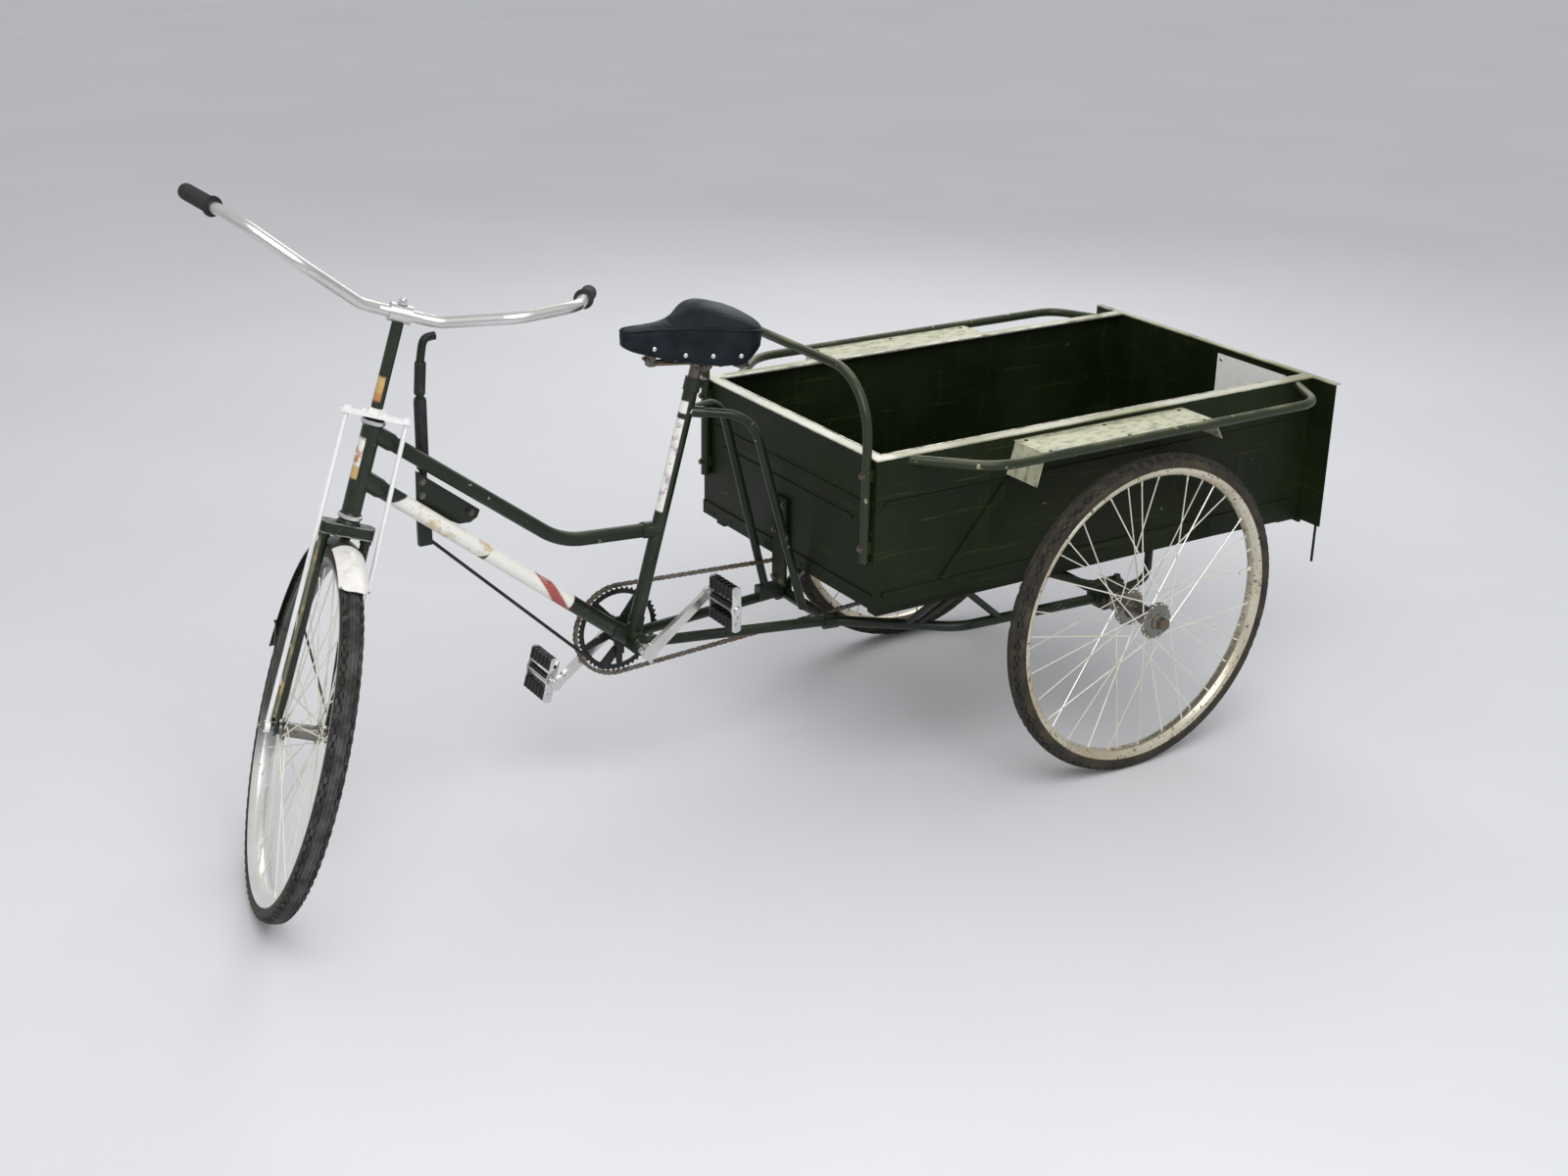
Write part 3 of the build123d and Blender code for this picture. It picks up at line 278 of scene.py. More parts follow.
# Seat tube
# Enamelled like the rest, with a white stripe down its front above the lug of
# the top tube, stained violet in places and broken once by a scrape.
seat_way = (at(0.851, 0, 0.888) - BRACKET).normalized()
FRONT_SIDE = Vector((0.96, 0.1, 0.27))
VIOLET = tone(0.42, 0.33, 0.40)
dress(painted_tube("seat_tube_stripe", BRACKET, seat_way, Vector((seat_way.z, 0, -seat_way.x)), (
    (0.274, 0.466, 0.0, 0.002, FRONT_SIDE, CREAM, VIOLET, 0.50),
    (0.478, 0.502, 0.0, 0.002, FRONT_SIDE, CREAM, STAIN, 0.60))), "seat_tube")

# Head tube and stem
# Dark enamel with a gilt transfer on the front of each, rubbed to copper where
# hands and straps touch it.
GILT = tone(0.52, 0.36, 0.13)
RUBBED = tone(0.42, 0.19, 0.07)
STEER_AT = Vector(joints["steer"]["pos_m"])
STEER_WAY = Vector(joints["steer"]["axis"])
STEER_FOOT = STEER_AT - STEER_WAY * 0.5
STEER_FRONT = Vector((STEER_WAY.z, 0, -STEER_WAY.x))
FRONT_LEAN = Vector((1.40, -0.50, 0.1))
dress(painted_tube("head_tube_gilt", STEER_FOOT, STEER_WAY, STEER_FRONT, (
    (0.484, 0.508, 0.0, 0.003, FRONT_LEAN, GILT, CREAM, 0.50),
    (0.508, 0.560, 0.0, 0.004, FRONT_LEAN, CREAM, RUBBED, 0.46))), "head_tube")
dress(painted_tube("stem_gilt", STEER_FOOT, STEER_WAY, STEER_FRONT, (
    (0.631, 0.676, 0.0, 0.004, Vector((1.1, 0.4, 0.3)), RUBBED, GILT, 0.45),)), "stem")

# Fork
# Two bent blades brazed into a pressed crown, with pale lines along both edges
# of the crown that are painted highlights, and a painted sheen of olive and gold
# on the front-facing sides of the blades.
CROWN_EDGE_HIGHLIGHT = tone(0.25, 0.26, 0.22)
BLADE_SHEEN = tone(0.16, 0.17, 0.10)
# The first two bands are painted highlights on the crown edges; the third is a painted sheen on the blades'
# front sides.
dress(painted_tube("fork_painted_highlights", STEER_FOOT, STEER_WAY, STEER_FRONT, (
    (0.3745, 0.3768, 0.0, 0.0004, None, CROWN_EDGE_HIGHLIGHT, BLACK_GREEN, 0.55),
    (0.3955, 0.3978, 0.0, 0.0004, None, CROWN_EDGE_HIGHLIGHT, BLACK_GREEN, 0.55),
    (0.0, 0.365, 0.0, 0.020, Vector((0.72, 0.05, 0.1)), BLADE_SHEEN, GILT, 0.50))), "fork")


# Load box
# Folded steel sheet, spot welded, in the same dark paint, with a painted
# highlight of pale metal along the top rims, brightest at the front.
BOX_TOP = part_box("box_side_left")[1].z
RIM_FRONT = at(0.600, 0, 0).x
RIM_HIGHLIGHT, RIM_HIGHLIGHT_DIM = tone(0.72, 0.71, 0.62), tone(0.30, 0.30, 0.19)
box_enamel, place = finish_of("box_enamel", Specular_IOR_Level=0.16)
film = place.noise(5, 6).between(0.3, 0.8)
runs = place.stretched(6, 6, 0.6).noise(7, 5).between(0.55, 0.85)
scrapes = place.stretched(1, 1, 22).noise(5, 5, 0.6).between(0.60, 0.72)
flakes = place.noise(42, 6).between(0.72, 0.74)
ragged = place.part(2) + place.noise(60, 3) * 0.002
rim = ragged.between(BOX_TOP - 0.003, BOX_TOP - 0.001)
paint = film.blend(tone(0.005, 0.009, 0.002), tone(0.012, 0.018, 0.005))
paint = (runs * 0.25 + scrapes * 0.45).blend(paint, tone(0.055, 0.058, 0.022))
paint = flakes.blend(paint, tone(0.16, 0.15, 0.10))
front = place.part(0).between(RIM_FRONT - 0.02, RIM_FRONT)
# The pale band along the top rims, strongest at the front, is a painted highlight.
rim_highlight = rim * (place.noise(11, 5) + front * 0.3).between(0.22, 0.42)
bright = front * 0.6 + place.noise(5, 4).between(0.40, 0.65) * 0.6
feed(box_enamel, Base_Color=rim_highlight.blend(paint, bright.blend(RIM_HIGHLIGHT_DIM, RIM_HIGHLIGHT)),
     Metallic=flakes * 0.6 + rim * 0.2, Roughness=film * 0.25 + runs * 0.2 + 0.38,
     Normal=relief(place, place.noise(12, 3) + place.noise(120, 2) * 0.1 - flakes * 0.1, 0.0012))
dress(box_enamel, "box_bearers", "box_floor", "box_front", "box_side_left", "box_side_right", "tail_board",
      "drop_plate", "tail_hinges")

# Hoops, rail arch and mudguard plates
# Round bar welded to the box, and flat plates over the wheels whose paint is
# patchy pale on top.
# The pale olive third tone on the hoops and arch is dust on their upper sides and a painted highlight there.
dress(enamel("hoop_enamel", tone(0.018, 0.025, 0.009), tone(0.34, 0.32, 0.21), tone(0.46, 0.45, 0.28), 0.66),
      "side_hoop_left", "side_hoop_right", "front_arch")
guard_paint, place = finish_of("guard_paint")
patch_mask = place.stretched(1, 2, 1).noise(30, 7, 0.65).between(0.32, 0.56)
feed(guard_paint, Base_Color=patch_mask.blend(tone(0.17, 0.175, 0.10), tone(0.52, 0.52, 0.37)),
     Roughness=patch_mask * 0.2 + 0.4, Metallic=patch_mask * 0.2, Normal=relief(place, patch_mask, 0.0004))
dress(guard_paint, "mudguard_left", "mudguard_right")

# Blank plate
# A plain white enamelled plate riveted inside the tail board.
plate_white, place = finish_of("plate_white", Coat_Weight=0.3)
darkening = place.noise(14, 6).between(0.55, 0.8)
feed(plate_white, Base_Color=(darkening * 0.3).blend(tone(0.93, 0.93, 0.90), tone(0.55, 0.50, 0.40)),
     Roughness=darkening * 0.3 + 0.35, Normal=relief(place, place.noise(60, 3), 0.0003))
dress(plate_white, "blank_plate")


# Bright parts
# A chromed bar and cranks dulled by fine pits and brown tarnish, truss rods in
# silver paint, bare steel axles, the rear one oily, and a black chainwheel.
def plated(name, bright, tarnish, pits, rough, metal=1.0, darkening=None):
    material, place = finish_of(name)
    spots = place.noise(120, 5).between(pits, pits + 0.08)
    film = place.noise(8, 5).between(0.4, 0.75)
    plating = (film * 0.5).blend(bright, tarnish)
    # A given darkening (a point and a way) paints a dark reflection over the plating on that side: painted
    # shade.
    if darkening:
        dark_reflection = (place.along(*darkening) + place.noise(20, 4) * 0.05).between(0.10, 0.24)
        plating = (dark_reflection * 0.95).blend(plating, tone(0.035, 0.040, 0.030))
    feed(material, Base_Color=spots.blend(plating, tone(0.16, 0.09, 0.04)),
         Metallic=metal - spots * metal * 0.8, Roughness=film * 0.12 + spots * 0.4 + rough,
         Normal=relief(place, place.noise(60, 2) * 0.2 - spots, 0.0002))
    return material


chrome = plated("dulled_chrome", tone(0.70, 0.70, 0.69), tone(0.50, 0.45, 0.36), 0.66, 0.26)
hub_steel = plated("hub_steel", tone(0.24, 0.24, 0.22), tone(0.12, 0.10, 0.07), 0.56, 0.34)
oiled_steel = plated("oiled_steel", tone(0.16, 0.15, 0.13), tone(0.05, 0.04, 0.03), 0.55, 0.34)
rod_paint = plated("silvered_rods", tone(0.88, 0.88, 0.88), tone(0.66, 0.64, 0.58), 0.68, 0.36, 0.25)
dress(chrome, "handlebar", "cranks")
dress(hub_steel, "front_axle")
dress(rod_paint, "truss_rods")
dress(oiled_steel, "rear_shaft")
dress(enamel("chainwheel_black", tone(0.012, 0.013, 0.012), BARE_STEEL, OLIVE_DUST_AND_HIGHLIGHT, 0.64), "chainwheel")

# Tyres
# Wired-on roadster tyres with a smooth ribbed crown, a row of raised blocks on
# each shoulder and brown dusty side walls.
TYRE_MID, CROWN, SIDE = 0.336, 0.019, 0.021
BEAD_R, BEAD_HALF = 0.3243, 0.0135
TREAD_STEPS = 180
LUG_EDGE, LUG_HEIGHT, GROOVE = 0.0008, 0.0016, 0.0014
CROWN_SHARE, LUG_SHARE, TREAD_SHARE = 0.40, 0.57, 0.86  # of the tyre's half width
RAKE = 0.035
front_at = Vector(joints["front_wheel_turn"]["pos_m"])
front_left = Vector(joints["front_wheel_turn"]["axis"])
front_ahead = front_left.cross(STEER_WAY)
STEERED = (Matrix.Translation(front_at - front_ahead * RAKE)
           @ Matrix((front_ahead, front_left, STEER_WAY)).transposed().to_4x4())
SEATS = {  # place and turn of each wheel, with its long hub end toward +Y
    "front": STEERED @ Matrix.Translation((RAKE, 0, 0)),
    "left": Matrix.Translation(REAR_AXLE) @ Matrix.Rotation(math.pi, 4, "Z"),
    "right": Matrix.Translation((REAR_AXLE.x, -REAR_AXLE.y, REAR_AXLE.z))}
BODIES = {"front": "front_wheel_body", "left": "rear_left_body", "right": "rear_shaft_body"}


def mirrored(points):
    return points + [(r, -y) for r, y in reversed(points)]


def turned(points, steps, seat=Matrix.Identity(4), start=0.0, sweep=math.tau, shape=None, closing=1):
    shape = bmesh.new() if shape is None else shape
    others = set(shape.verts)
    ring = [shape.verts.new(Matrix.Rotation(start, 3, "Y") @ Vector((0, y, r))) for r, y in points]
    loop = [shape.edges.new((a, b)) for a, b in zip(ring, ring[1:] + ring[:closing])]
    whole = sweep == math.tau
    bmesh.ops.spin(shape, geom=ring + loop, axis=(0, 1, 0), cent=(0, 0, 0), dvec=(0, 0, 0),
                   angle=sweep, steps=steps, use_merge=whole)
    if whole:
        bmesh.ops.remove_doubles(shape, verts=shape.verts, dist=1e-6)
    else:
        bmesh.ops.holes_fill(shape, edges=[e for e in shape.edges if e.is_boundary])
    bmesh.ops.recalc_face_normals(shape, faces=shape.faces)
    bmesh.ops.transform(shape, matrix=seat, verts=[v for v in shape.verts if v not in others])
    return shape


def finished(name, shape, body, slot, *materials):
    made = piece_from(name, shape, *materials)
    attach(made, body)
    return made


tread, place = finish_of("tyre_tread", Specular_IOR_Level=0.3)
road = place.noise(35, 5).between(0.35, 0.7)
# The tread is greyer toward the front and browner toward the rear: dust, with painted light and shade.
ahead = place.part(0).between(-0.2, 0.6)
dust_and_painted_light = ahead.blend(tone(0.060, 0.052, 0.036), tone(0.092, 0.095, 0.093))
feed(tread, Base_Color=(road * 0.8 + 0.1).blend(tone(0.022, 0.021, 0.020), dust_and_painted_light),
     Roughness=road * 0.15 + 0.75, Normal=relief(place, place.noise(300, 2), 0.0003))
# The rubber between the shoulder blocks is coloured darker than the tread: painted shade in the recesses.
groove, place = finish_of("tyre_groove", Specular_IOR_Level=0.2)
road = place.noise(50, 5).between(0.4, 0.7)
feed(groove, Base_Color=road.blend(tone(0.014, 0.013, 0.012), tone(0.046, 0.042, 0.034)),
     Roughness=road * 0.1 + 0.85, Normal=relief(place, place.noise(240, 2), 0.0004))
sidewall, place = finish_of("tyre_sidewall", Specular_IOR_Level=0.3)
road = place.noise(22, 5).between(0.35, 0.75)
feed(sidewall, Base_Color=road.blend(tone(0.020, 0.018, 0.013), tone(0.070, 0.054, 0.033)),
     Roughness=road * 0.15 + 0.6, Normal=relief(place, place.noise(260, 3), 0.0003))

tyre_profile = [(BEAD_R, -BEAD_HALF)]
for degrees in (-112, -100, -88, -76, -64, -52, -41, -33, -31, -25, -23, -13, -11, -5):
    dip = GROOVE if abs(degrees) in (31, 25, 11) else 0
    t = math.radians(degrees)
    tyre_profile.append((TYRE_MID + (CROWN - dip) * math.cos(t), SIDE * math.sin(t)))

for side, seat in SEATS.items():
    shape = turned(mirrored(tyre_profile), TREAD_STEPS)
    lugs = []
    for face in shape.faces:
        middle = face.calc_center_median()
        spread = abs(middle.y) / SIDE
        turn = math.atan2(middle.z, middle.x) / math.tau * TREAD_STEPS
        on_tread = spread < TREAD_SHARE and math.hypot(middle.x, middle.z) > TYRE_MID
        on_lug = int(turn + TREAD_STEPS + 0.5 + (middle.y > 0)) % 2
        face.material_index = (0 if spread < CROWN_SHARE or on_lug else 2) if on_tread else 1
        if on_tread and spread > LUG_SHARE and on_lug:
            lugs.append(face)
    bmesh.ops.inset_individual(shape, faces=lugs, thickness=LUG_EDGE, depth=LUG_HEIGHT)
    bmesh.ops.transform(shape, matrix=seat, verts=shape.verts)
    tyre = finished(side + "_cover", shape, BODIES[side], "tyre", tread, sidewall, groove)
    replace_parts(tyre, "front_tyre" if side == "front" else "rear_tyre_" + side)


# Rims, hubs and spokes
# Chromed steel rims with hooked edges, the front one with a painted dark
# reflection behind the brake, each laced by thirty-six crossed spokes with
# nipples to a turned hub, and a tyre valve.
RIM_STEPS, HUB_STEPS = 144, 48
SPOKES, SPOKE_R, SPOKE_LEAN = 36, 0.0014, math.radians(58)
NIPPLE_R, NIPPLE_FOOT, NIPPLE_SHARE = 0.0017, 0.0023, 0.045
HEAD_R, HEAD_T, HEAD_INSET, HEAD_OFFSET, ELBOW = 0.0021, 0.001, 0.003, 0.0022, 0.0045
RIM_INNER, RIM_LEAN = 0.309, 0.003
VALVE_TURN, VALVE = math.radians(8), ((-0.002, 0.032, 0.003, 12), (0.001, 0.005, 0.006, 6))
AHEAD, LEFT, UP = Matrix.Identity(3)
RIM_SIDE = [(0.3240, 0.0142), (0.3262, 0.0150), (0.3275, 0.0165), (0.3276, 0.0182), (0.3262, 0.0192),
            (0.3240, 0.0190), (0.3200, 0.0186), (0.3165, 0.0165), (0.3145, 0.0135), (0.3120, 0.0118),
            (0.3100, 0.0090), (RIM_INNER, 0.0050)]
FRONT_HUB = mirrored([
    (0.0052, 0.044), (0.0100, 0.044), (0.0118, 0.043), (0.012, 0.038), (0.0135, 0.0365), (0.0195, 0.0358),
    (0.022, 0.0345), (0.022, 0.0308), (0.0205, 0.0298), (0.0165, 0.0290), (0.0148, 0.0265), (0.0140, 0.018)])
FLANGES = mirrored([(0.0215, 0.0452), (0.037, 0.0442), (0.040, 0.0428), (0.040, 0.0392), (0.037, 0.0380),
                    (0.0225, 0.0368), (0.020, 0.0345)])
REAR_HUB = [
    (0.0102, 0.088), (0.0200, 0.088), (0.0218, 0.0868), (0.022, 0.081), (0.0200, 0.0785), (0.019, 0.076),
    (0.019, 0.0475), *FLANGES, (0.018, -0.0475), (0.018, -0.052), (0.0135, -0.0545), (0.0125, -0.060),
    (0.0102, -0.060)]
# The way toward the front rim's painted dark reflection, up and back from the axle.
DARK_REFLECTION_WAY = (front_ahead * -0.8 + STEER_WAY * 0.6).normalized()
front_plating = plated("front_plating", tone(0.80, 0.80, 0.79), tone(0.60, 0.57, 0.50), 0.66, 0.30, 0.6,
                       (front_at, DARK_REFLECTION_WAY))
rear_plating = plated("rear_plating", tone(0.66, 0.62, 0.50), tone(0.36, 0.25, 0.11), 0.58, 0.26, 0.8)
spoke_plating = plated("spoke_plating", tone(0.84, 0.82, 0.74), tone(0.52, 0.44, 0.30), 0.68, 0.30, 0.4)
rear_lacing = (REAR_HUB, 0.041, 0.040, rear_plating)
LACING = {  # hub, offset and radius of its flanges, and plating of the rim
    "front": (FRONT_HUB, 0.0325, 0.022, front_plating), "left": rear_lacing, "right": rear_lacing}


def bar_between(shape, start, end, radius, sides=6, tip=None):
    line = end - start
    turn = line.to_track_quat("Z", "Y").to_matrix().to_4x4()
    return bmesh.ops.create_cone(shape, cap_ends=True, segments=sides, radius1=radius,
                                 radius2=radius if tip is None else tip, depth=line.length,
                                 matrix=Matrix.Translation((start + end) / 2) @ turn)["verts"]


# each step: from, to, radius, sides and, on a cone, the radius of its tip
def stepped(shape, foot, way, *steps):
    return [vert for low, high, *rest in steps
            for vert in bar_between(shape, foot + way * low, foot + way * high, *rest)]


def on_wheel(angle, y, radius):
    return Vector((radius * math.cos(angle), y, radius * math.sin(angle)))


for side, seat in SEATS.items():
    hub_points, flange_y, flange_r, plating = LACING[side]
    shape = turned(mirrored(RIM_SIDE), RIM_STEPS, seat)
    finished(side + "_rim", shape, BODIES[side], "wheel_chrome", plating)

    shape = bmesh.new()
    for flange in (1, -1):
        for i in range(SPOKES // 2):
            lead = 1 if i % 2 == 0 else -1
            hub_angle = (i + (0.25 if flange == 1 else 0.75)) * math.tau / (SPOKES // 2)
            start = on_wheel(hub_angle, flange * (flange_y + lead * HEAD_OFFSET), flange_r - HEAD_INSET)
            end = on_wheel(hub_angle + lead * SPOKE_LEAN, flange * RIM_LEAN, RIM_INNER)
            elbow = start - Vector((0, flange * lead * ELBOW, 0))
            bar_between(shape, start, end, SPOKE_R)
            bar_between(shape, end.lerp(start, NIPPLE_SHARE), end, NIPPLE_R, 8, NIPPLE_FOOT)
            bar_between(shape, start, elbow, SPOKE_R)
            bar_between(shape, elbow, elbow - Vector((0, flange * lead * HEAD_T, 0)), HEAD_R, 8)
    stepped(shape, on_wheel(VALVE_TURN, 0, RIM_INNER), -on_wheel(VALVE_TURN, 0, 1), *VALVE)
    bmesh.ops.transform(shape, matrix=seat, verts=shape.verts)
    finished(side + "_spokes", shape, BODIES[side], "wheel_chrome", spoke_plating)

    shape = turned(hub_points, HUB_STEPS, seat)
    hub = finished(side + "_hub", shape, BODIES[side], "wheel_chrome", hub_steel)
    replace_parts(hub, "front_wheel" if side == "front" else "rear_wheel_" + side)


# Front mudguard
# A rolled steel blade with curled edges, enamelled black with a white tip, hung
# from the crown and stayed by two wires that run to eyes on the fork ends.
GUARD_R, GUARD_HALF, GUARD_DROP, GUARD_T, HEM_R = 0.368, 0.027, 0.011, 0.001, 0.0016
GUARD_BACK, GUARD_FRONT, WHITE_FROM = math.radians(-83), math.radians(27), math.radians(1)
TIP_ROUND = math.radians(3.2)
STAY_TURN, STAY_R, STAY_Y, WIRE_R = math.radians(-74), GUARD_R - 0.009, GUARD_HALF + 0.0005, 0.0024
EYE_X, EYE_Y, EYE_Z = RAKE - 0.010, 0.0540, 0.012
EYE, STAY_RIVET = (-0.003, 0.0025, 0.004, 16), (-0.003, 0.004, 0.0032, 12)
guard_enamel = enamel("guard_enamel", BLACK_GREEN, BARE_STEEL, OLIVE_DUST_AND_HIGHLIGHT, 0.66)
guard_white, place = finish_of("guard_white", Coat_Weight=0.2)
darkening = place.noise(30, 6).between(0.5, 0.75)
feed(guard_white, Base_Color=(darkening * 0.5).blend(tone(0.80, 0.78, 0.76), tone(0.42, 0.36, 0.28)),
     Roughness=darkening * 0.3 + 0.35, Normal=relief(place, place.noise(80, 3), 0.0003))

curve_r = (GUARD_HALF ** 2 + GUARD_DROP ** 2) / (2 * GUARD_DROP)
reach = math.asin(GUARD_HALF / curve_r)
arc = [(math.cos(reach * i / 6), math.sin(reach * i / 6)) for i in range(-6, 7)]
outer = [(GUARD_R - curve_r + curve_r * c, curve_r * s) for c, s in arc]
inner = [(r - GUARD_T * c, y - GUARD_T * s) for (r, y), (c, s) in zip(outer, arc)]
edge_r, edge_y = outer[-1]
hem = [(edge_r + HEM_R * (math.sin(t) - 0.6), edge_y + HEM_R * (math.cos(t) - 0.3))
       for t in (math.radians(60 - 48 * i) for i in range(6))]
blade = outer[1:-1] + hem + inner[-2:0:-1] + [(r, -y) for r, y in reversed(hem)]
shape = turned(blade, 44, start=GUARD_BACK, sweep=GUARD_FRONT - GUARD_BACK)
for vert in shape.verts:
    turn = math.atan2(vert.co.x, vert.co.z)
    if turn > GUARD_FRONT - 1e-4:
        vert.co = Matrix.Rotation(-TIP_ROUND * (vert.co.y / GUARD_HALF) ** 4, 3, "Y") @ vert.co
for face in shape.faces:
    middle = face.calc_center_median()
    face.material_index = 1 if math.atan2(middle.x, middle.z) > WHITE_FROM else 0
bmesh.ops.transform(shape, matrix=Matrix.Translation((RAKE, 0, 0)), verts=shape.verts)
for hand in (1, -1):
    foot = Vector((RAKE + STAY_R * math.sin(STAY_TURN), hand * STAY_Y, STAY_R * math.cos(STAY_TURN)))
    eyelet = Vector((EYE_X, hand * EYE_Y, EYE_Z))
    bar_between(shape, foot, eyelet, WIRE_R, 10)
    stepped(shape, eyelet, LEFT * hand, EYE)
    stepped(shape, foot, LEFT * hand, STAY_RIVET)
bmesh.ops.create_cube(shape, size=1, matrix=(Matrix.Translation((-0.0035, 0, 0.3705))
                                             @ Matrix.Diagonal((0.021, 0.018, 0.007, 1))))
bmesh.ops.transform(shape, matrix=STEERED, verts=shape.verts)
guard = finished("guard_blade", shape, "steering", "frame_paint", guard_enamel, guard_white)
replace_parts(guard, "front_mudguard")


# Headset and stem bolt
# Bright cups cover the ends of the head tube; a chromed sleeve covers the bar
# clamp, and a bolt above it draws the stem's wedge tight.
HEAD_LOW, HEAD_TOP, BAR_T = 0.407, 0.597, 0.794
LOWER_CUP = ((0.0195, 0.0015), (0.0224, 0.0015), (0.0228, 0.004), (0.0224, 0.0085), (0.0205, 0.0095))
UPPER_CUP = ((0.0195, -0.0095), (0.0224, -0.0085), (0.0228, -0.004), (0.0224, -0.0015), (0.0195, -0.0015))
BAR_CLAMP = (-0.0203, 0.0203, 0.0175, 40)
STEM_BOLT = ((0.0165, 0.0185, 0.0105, 20), (0.018, 0.025, 0.0075, 6))
BOLT_DOME, DOME_R = 0.0235, 0.0062
UPRIGHT = Matrix.Rotation(math.radians(90), 4, "X")

shape = bmesh.new()
for end, cup in ((HEAD_LOW, LOWER_CUP), (HEAD_TOP, UPPER_CUP)):
    turned([(r, end + z) for r, z in cup], 40, STEERED @ UPRIGHT, shape=shape, closing=0)
finished("head_cups", shape, "frame", "chrome", chrome)

shape = bmesh.new()
stepped(shape, UP * BAR_T, UP, *STEM_BOLT)
stepped(shape, UP * BAR_T, LEFT, BAR_CLAMP)
bmesh.ops.create_uvsphere(shape, u_segments=16, v_segments=8, radius=DOME_R,
                          matrix=Matrix.Translation(UP * (BAR_T + BOLT_DOME)))
bmesh.ops.transform(shape, matrix=STEERED, verts=shape.verts)
finished("stem_bolts", shape, "steering", "chrome", chrome)


# Drive chain
# A roller chain of half-inch pitch: pairs of waisted plates, wide and narrow in
# turn, on pins and rollers, following both toothed wheels.
CHAIN_AT, RING_R, SPROCKET_R, PITCH = -0.060, 0.09709, 0.04865, 0.0127
PLATE_R, WAIST, PLATE_T = 0.0042, 0.0029, 0.0010
NARROW, WIDE = 0.0026, 0.0037
ROLLER, PIN = (-0.0021, 0.0021, 0.0038, 10), (-0.0047, 0.0047, 0.0018, 6)
chain_steel = plated("chain_steel", tone(0.20, 0.19, 0.17), tone(0.06, 0.05, 0.04), 0.52, 0.32)

ring_at, sprocket_at = Vector((BRACKET.x, 0, BRACKET.z)), Vector((REAR_AXLE.x, 0, REAR_AXLE.z))
span = sprocket_at - ring_at
base = math.atan2(span.z, span.x)
lean = math.acos((RING_R - SPROCKET_R) / span.length)
straight = math.sqrt(span.length ** 2 - (RING_R - SPROCKET_R) ** 2)
rear_arc, front_arc = 2 * lean * SPROCKET_R, (math.tau - 2 * lean) * RING_R
route = 2 * straight + rear_arc + front_arc
links = 2 * round(route / PITCH / 2)


def on_run(turn, share):
    front, rear = ring_at + on_wheel(turn, 0, RING_R), sprocket_at + on_wheel(turn, 0, SPROCKET_R)
    return front.lerp(rear, share)


def on_route(s):
    if s < straight:
        return on_run(base + lean, s / straight)
    s -= straight
    if s < rear_arc:
        return sprocket_at + on_wheel(base + lean - s / SPROCKET_R, 0, SPROCKET_R)
    s -= rear_arc
    if s < straight:
        return on_run(base - lean, 1 - s / straight)
    return ring_at + on_wheel(base - lean - (s - straight) / RING_R, 0, RING_R)


def sheet(shape, outline, low, high):
    near, far = ([shape.verts.new((p.x, y, p.z)) for p in outline] for y in (low, high))
    shape.faces.new(near)
    shape.faces.new(far[::-1])
    for i in range(len(outline)):
        shape.faces.new((near[i - 1], far[i - 1], far[i], near[i]))


def waisted(shape, start, end, y):
    line = (end - start).normalized()
    rise = Vector((-line.z, 0, line.x))
    outline = []
    for centre, way in ((start, -1), (end, 1)):
        for degrees in (-90, -45, 0, 45, 90):
            t = math.radians(degrees * way)
            outline.append(centre + line * way * PLATE_R * math.cos(t) + rise * PLATE_R * math.sin(t))
        outline.append((start + end) / 2 + rise * WAIST * way)
    sheet(shape, outline, y - PLATE_T / 2, y + PLATE_T / 2)


shape = bmesh.new()
pins = [on_route(route * i / links) for i in range(links)]
for i, pin in enumerate(pins):
    after = pins[(i + 1) % links]
    spread = WIDE if i % 2 else NARROW
    for hand in (1, -1):
        waisted(shape, pin, after, CHAIN_AT + hand * spread)
    stepped(shape, pin + LEFT * CHAIN_AT, LEFT, ROLLER, PIN)
bmesh.ops.recalc_face_normals(shape, faces=shape.faces)
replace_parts(finished("roller_chain", shape, "frame", "steel", chain_steel), "chain")


# Pedals
# Two grooved rubber blocks between bright pressed end plates, turning on a
# steel barrel with a dust cap outside.
PEDAL_IN, PEDAL_OUT, CAGE_T, RIB_GAP = 0.097, 0.189, 0.004, 0.002
BLOCK_IN, BLOCK_OUT, BLOCK_HALF, VALLEY, RIBS = 0.0202, 0.0438, 0.012, 0.0025, 6
CAGE = [(-0.048, -0.005), (-0.044, -0.010), (-0.012, -0.010), (0, -0.013), (0.012, -0.010), (0.044, -0.010),
        (0.048, -0.005)]
CAGE_IN, CAGE_OUT = PEDAL_IN + CAGE_T, PEDAL_OUT - CAGE_T
BARREL = ((CAGE_IN, CAGE_OUT, 0.009, 20), (CAGE_OUT, PEDAL_OUT + 0.006, 0.0085, 16, 0.0070),
          (PEDAL_IN - 0.002, CAGE_IN, 0.0105, 20))
BLOCK_NUTS = ((PEDAL_IN - 0.0015, CAGE_IN, 0.0045, 6), (CAGE_OUT, PEDAL_OUT + 0.0035, 0.0045, 6))
NUT_X = 0.032
PEDALS = (  # name, joint, body, side of the tricycle and tilt
    ("pedal_left", "left_pedal_turn", "left_pedal_body", 1, 90),
    ("pedal_right", "right_pedal_turn", "right_pedal_body", -1, 75))
rubber, place = finish_of("moulded_rubber", Specular_IOR_Level=0.35)
scuff = place.noise(60, 4).between(0.45, 0.75)
feed(rubber, Base_Color=(scuff * 0.4).blend(tone(0.012, 0.012, 0.013), tone(0.05, 0.05, 0.05)),
     Roughness=scuff * 0.2 + 0.55, Normal=relief(place, place.noise(200, 2), 0.0003))


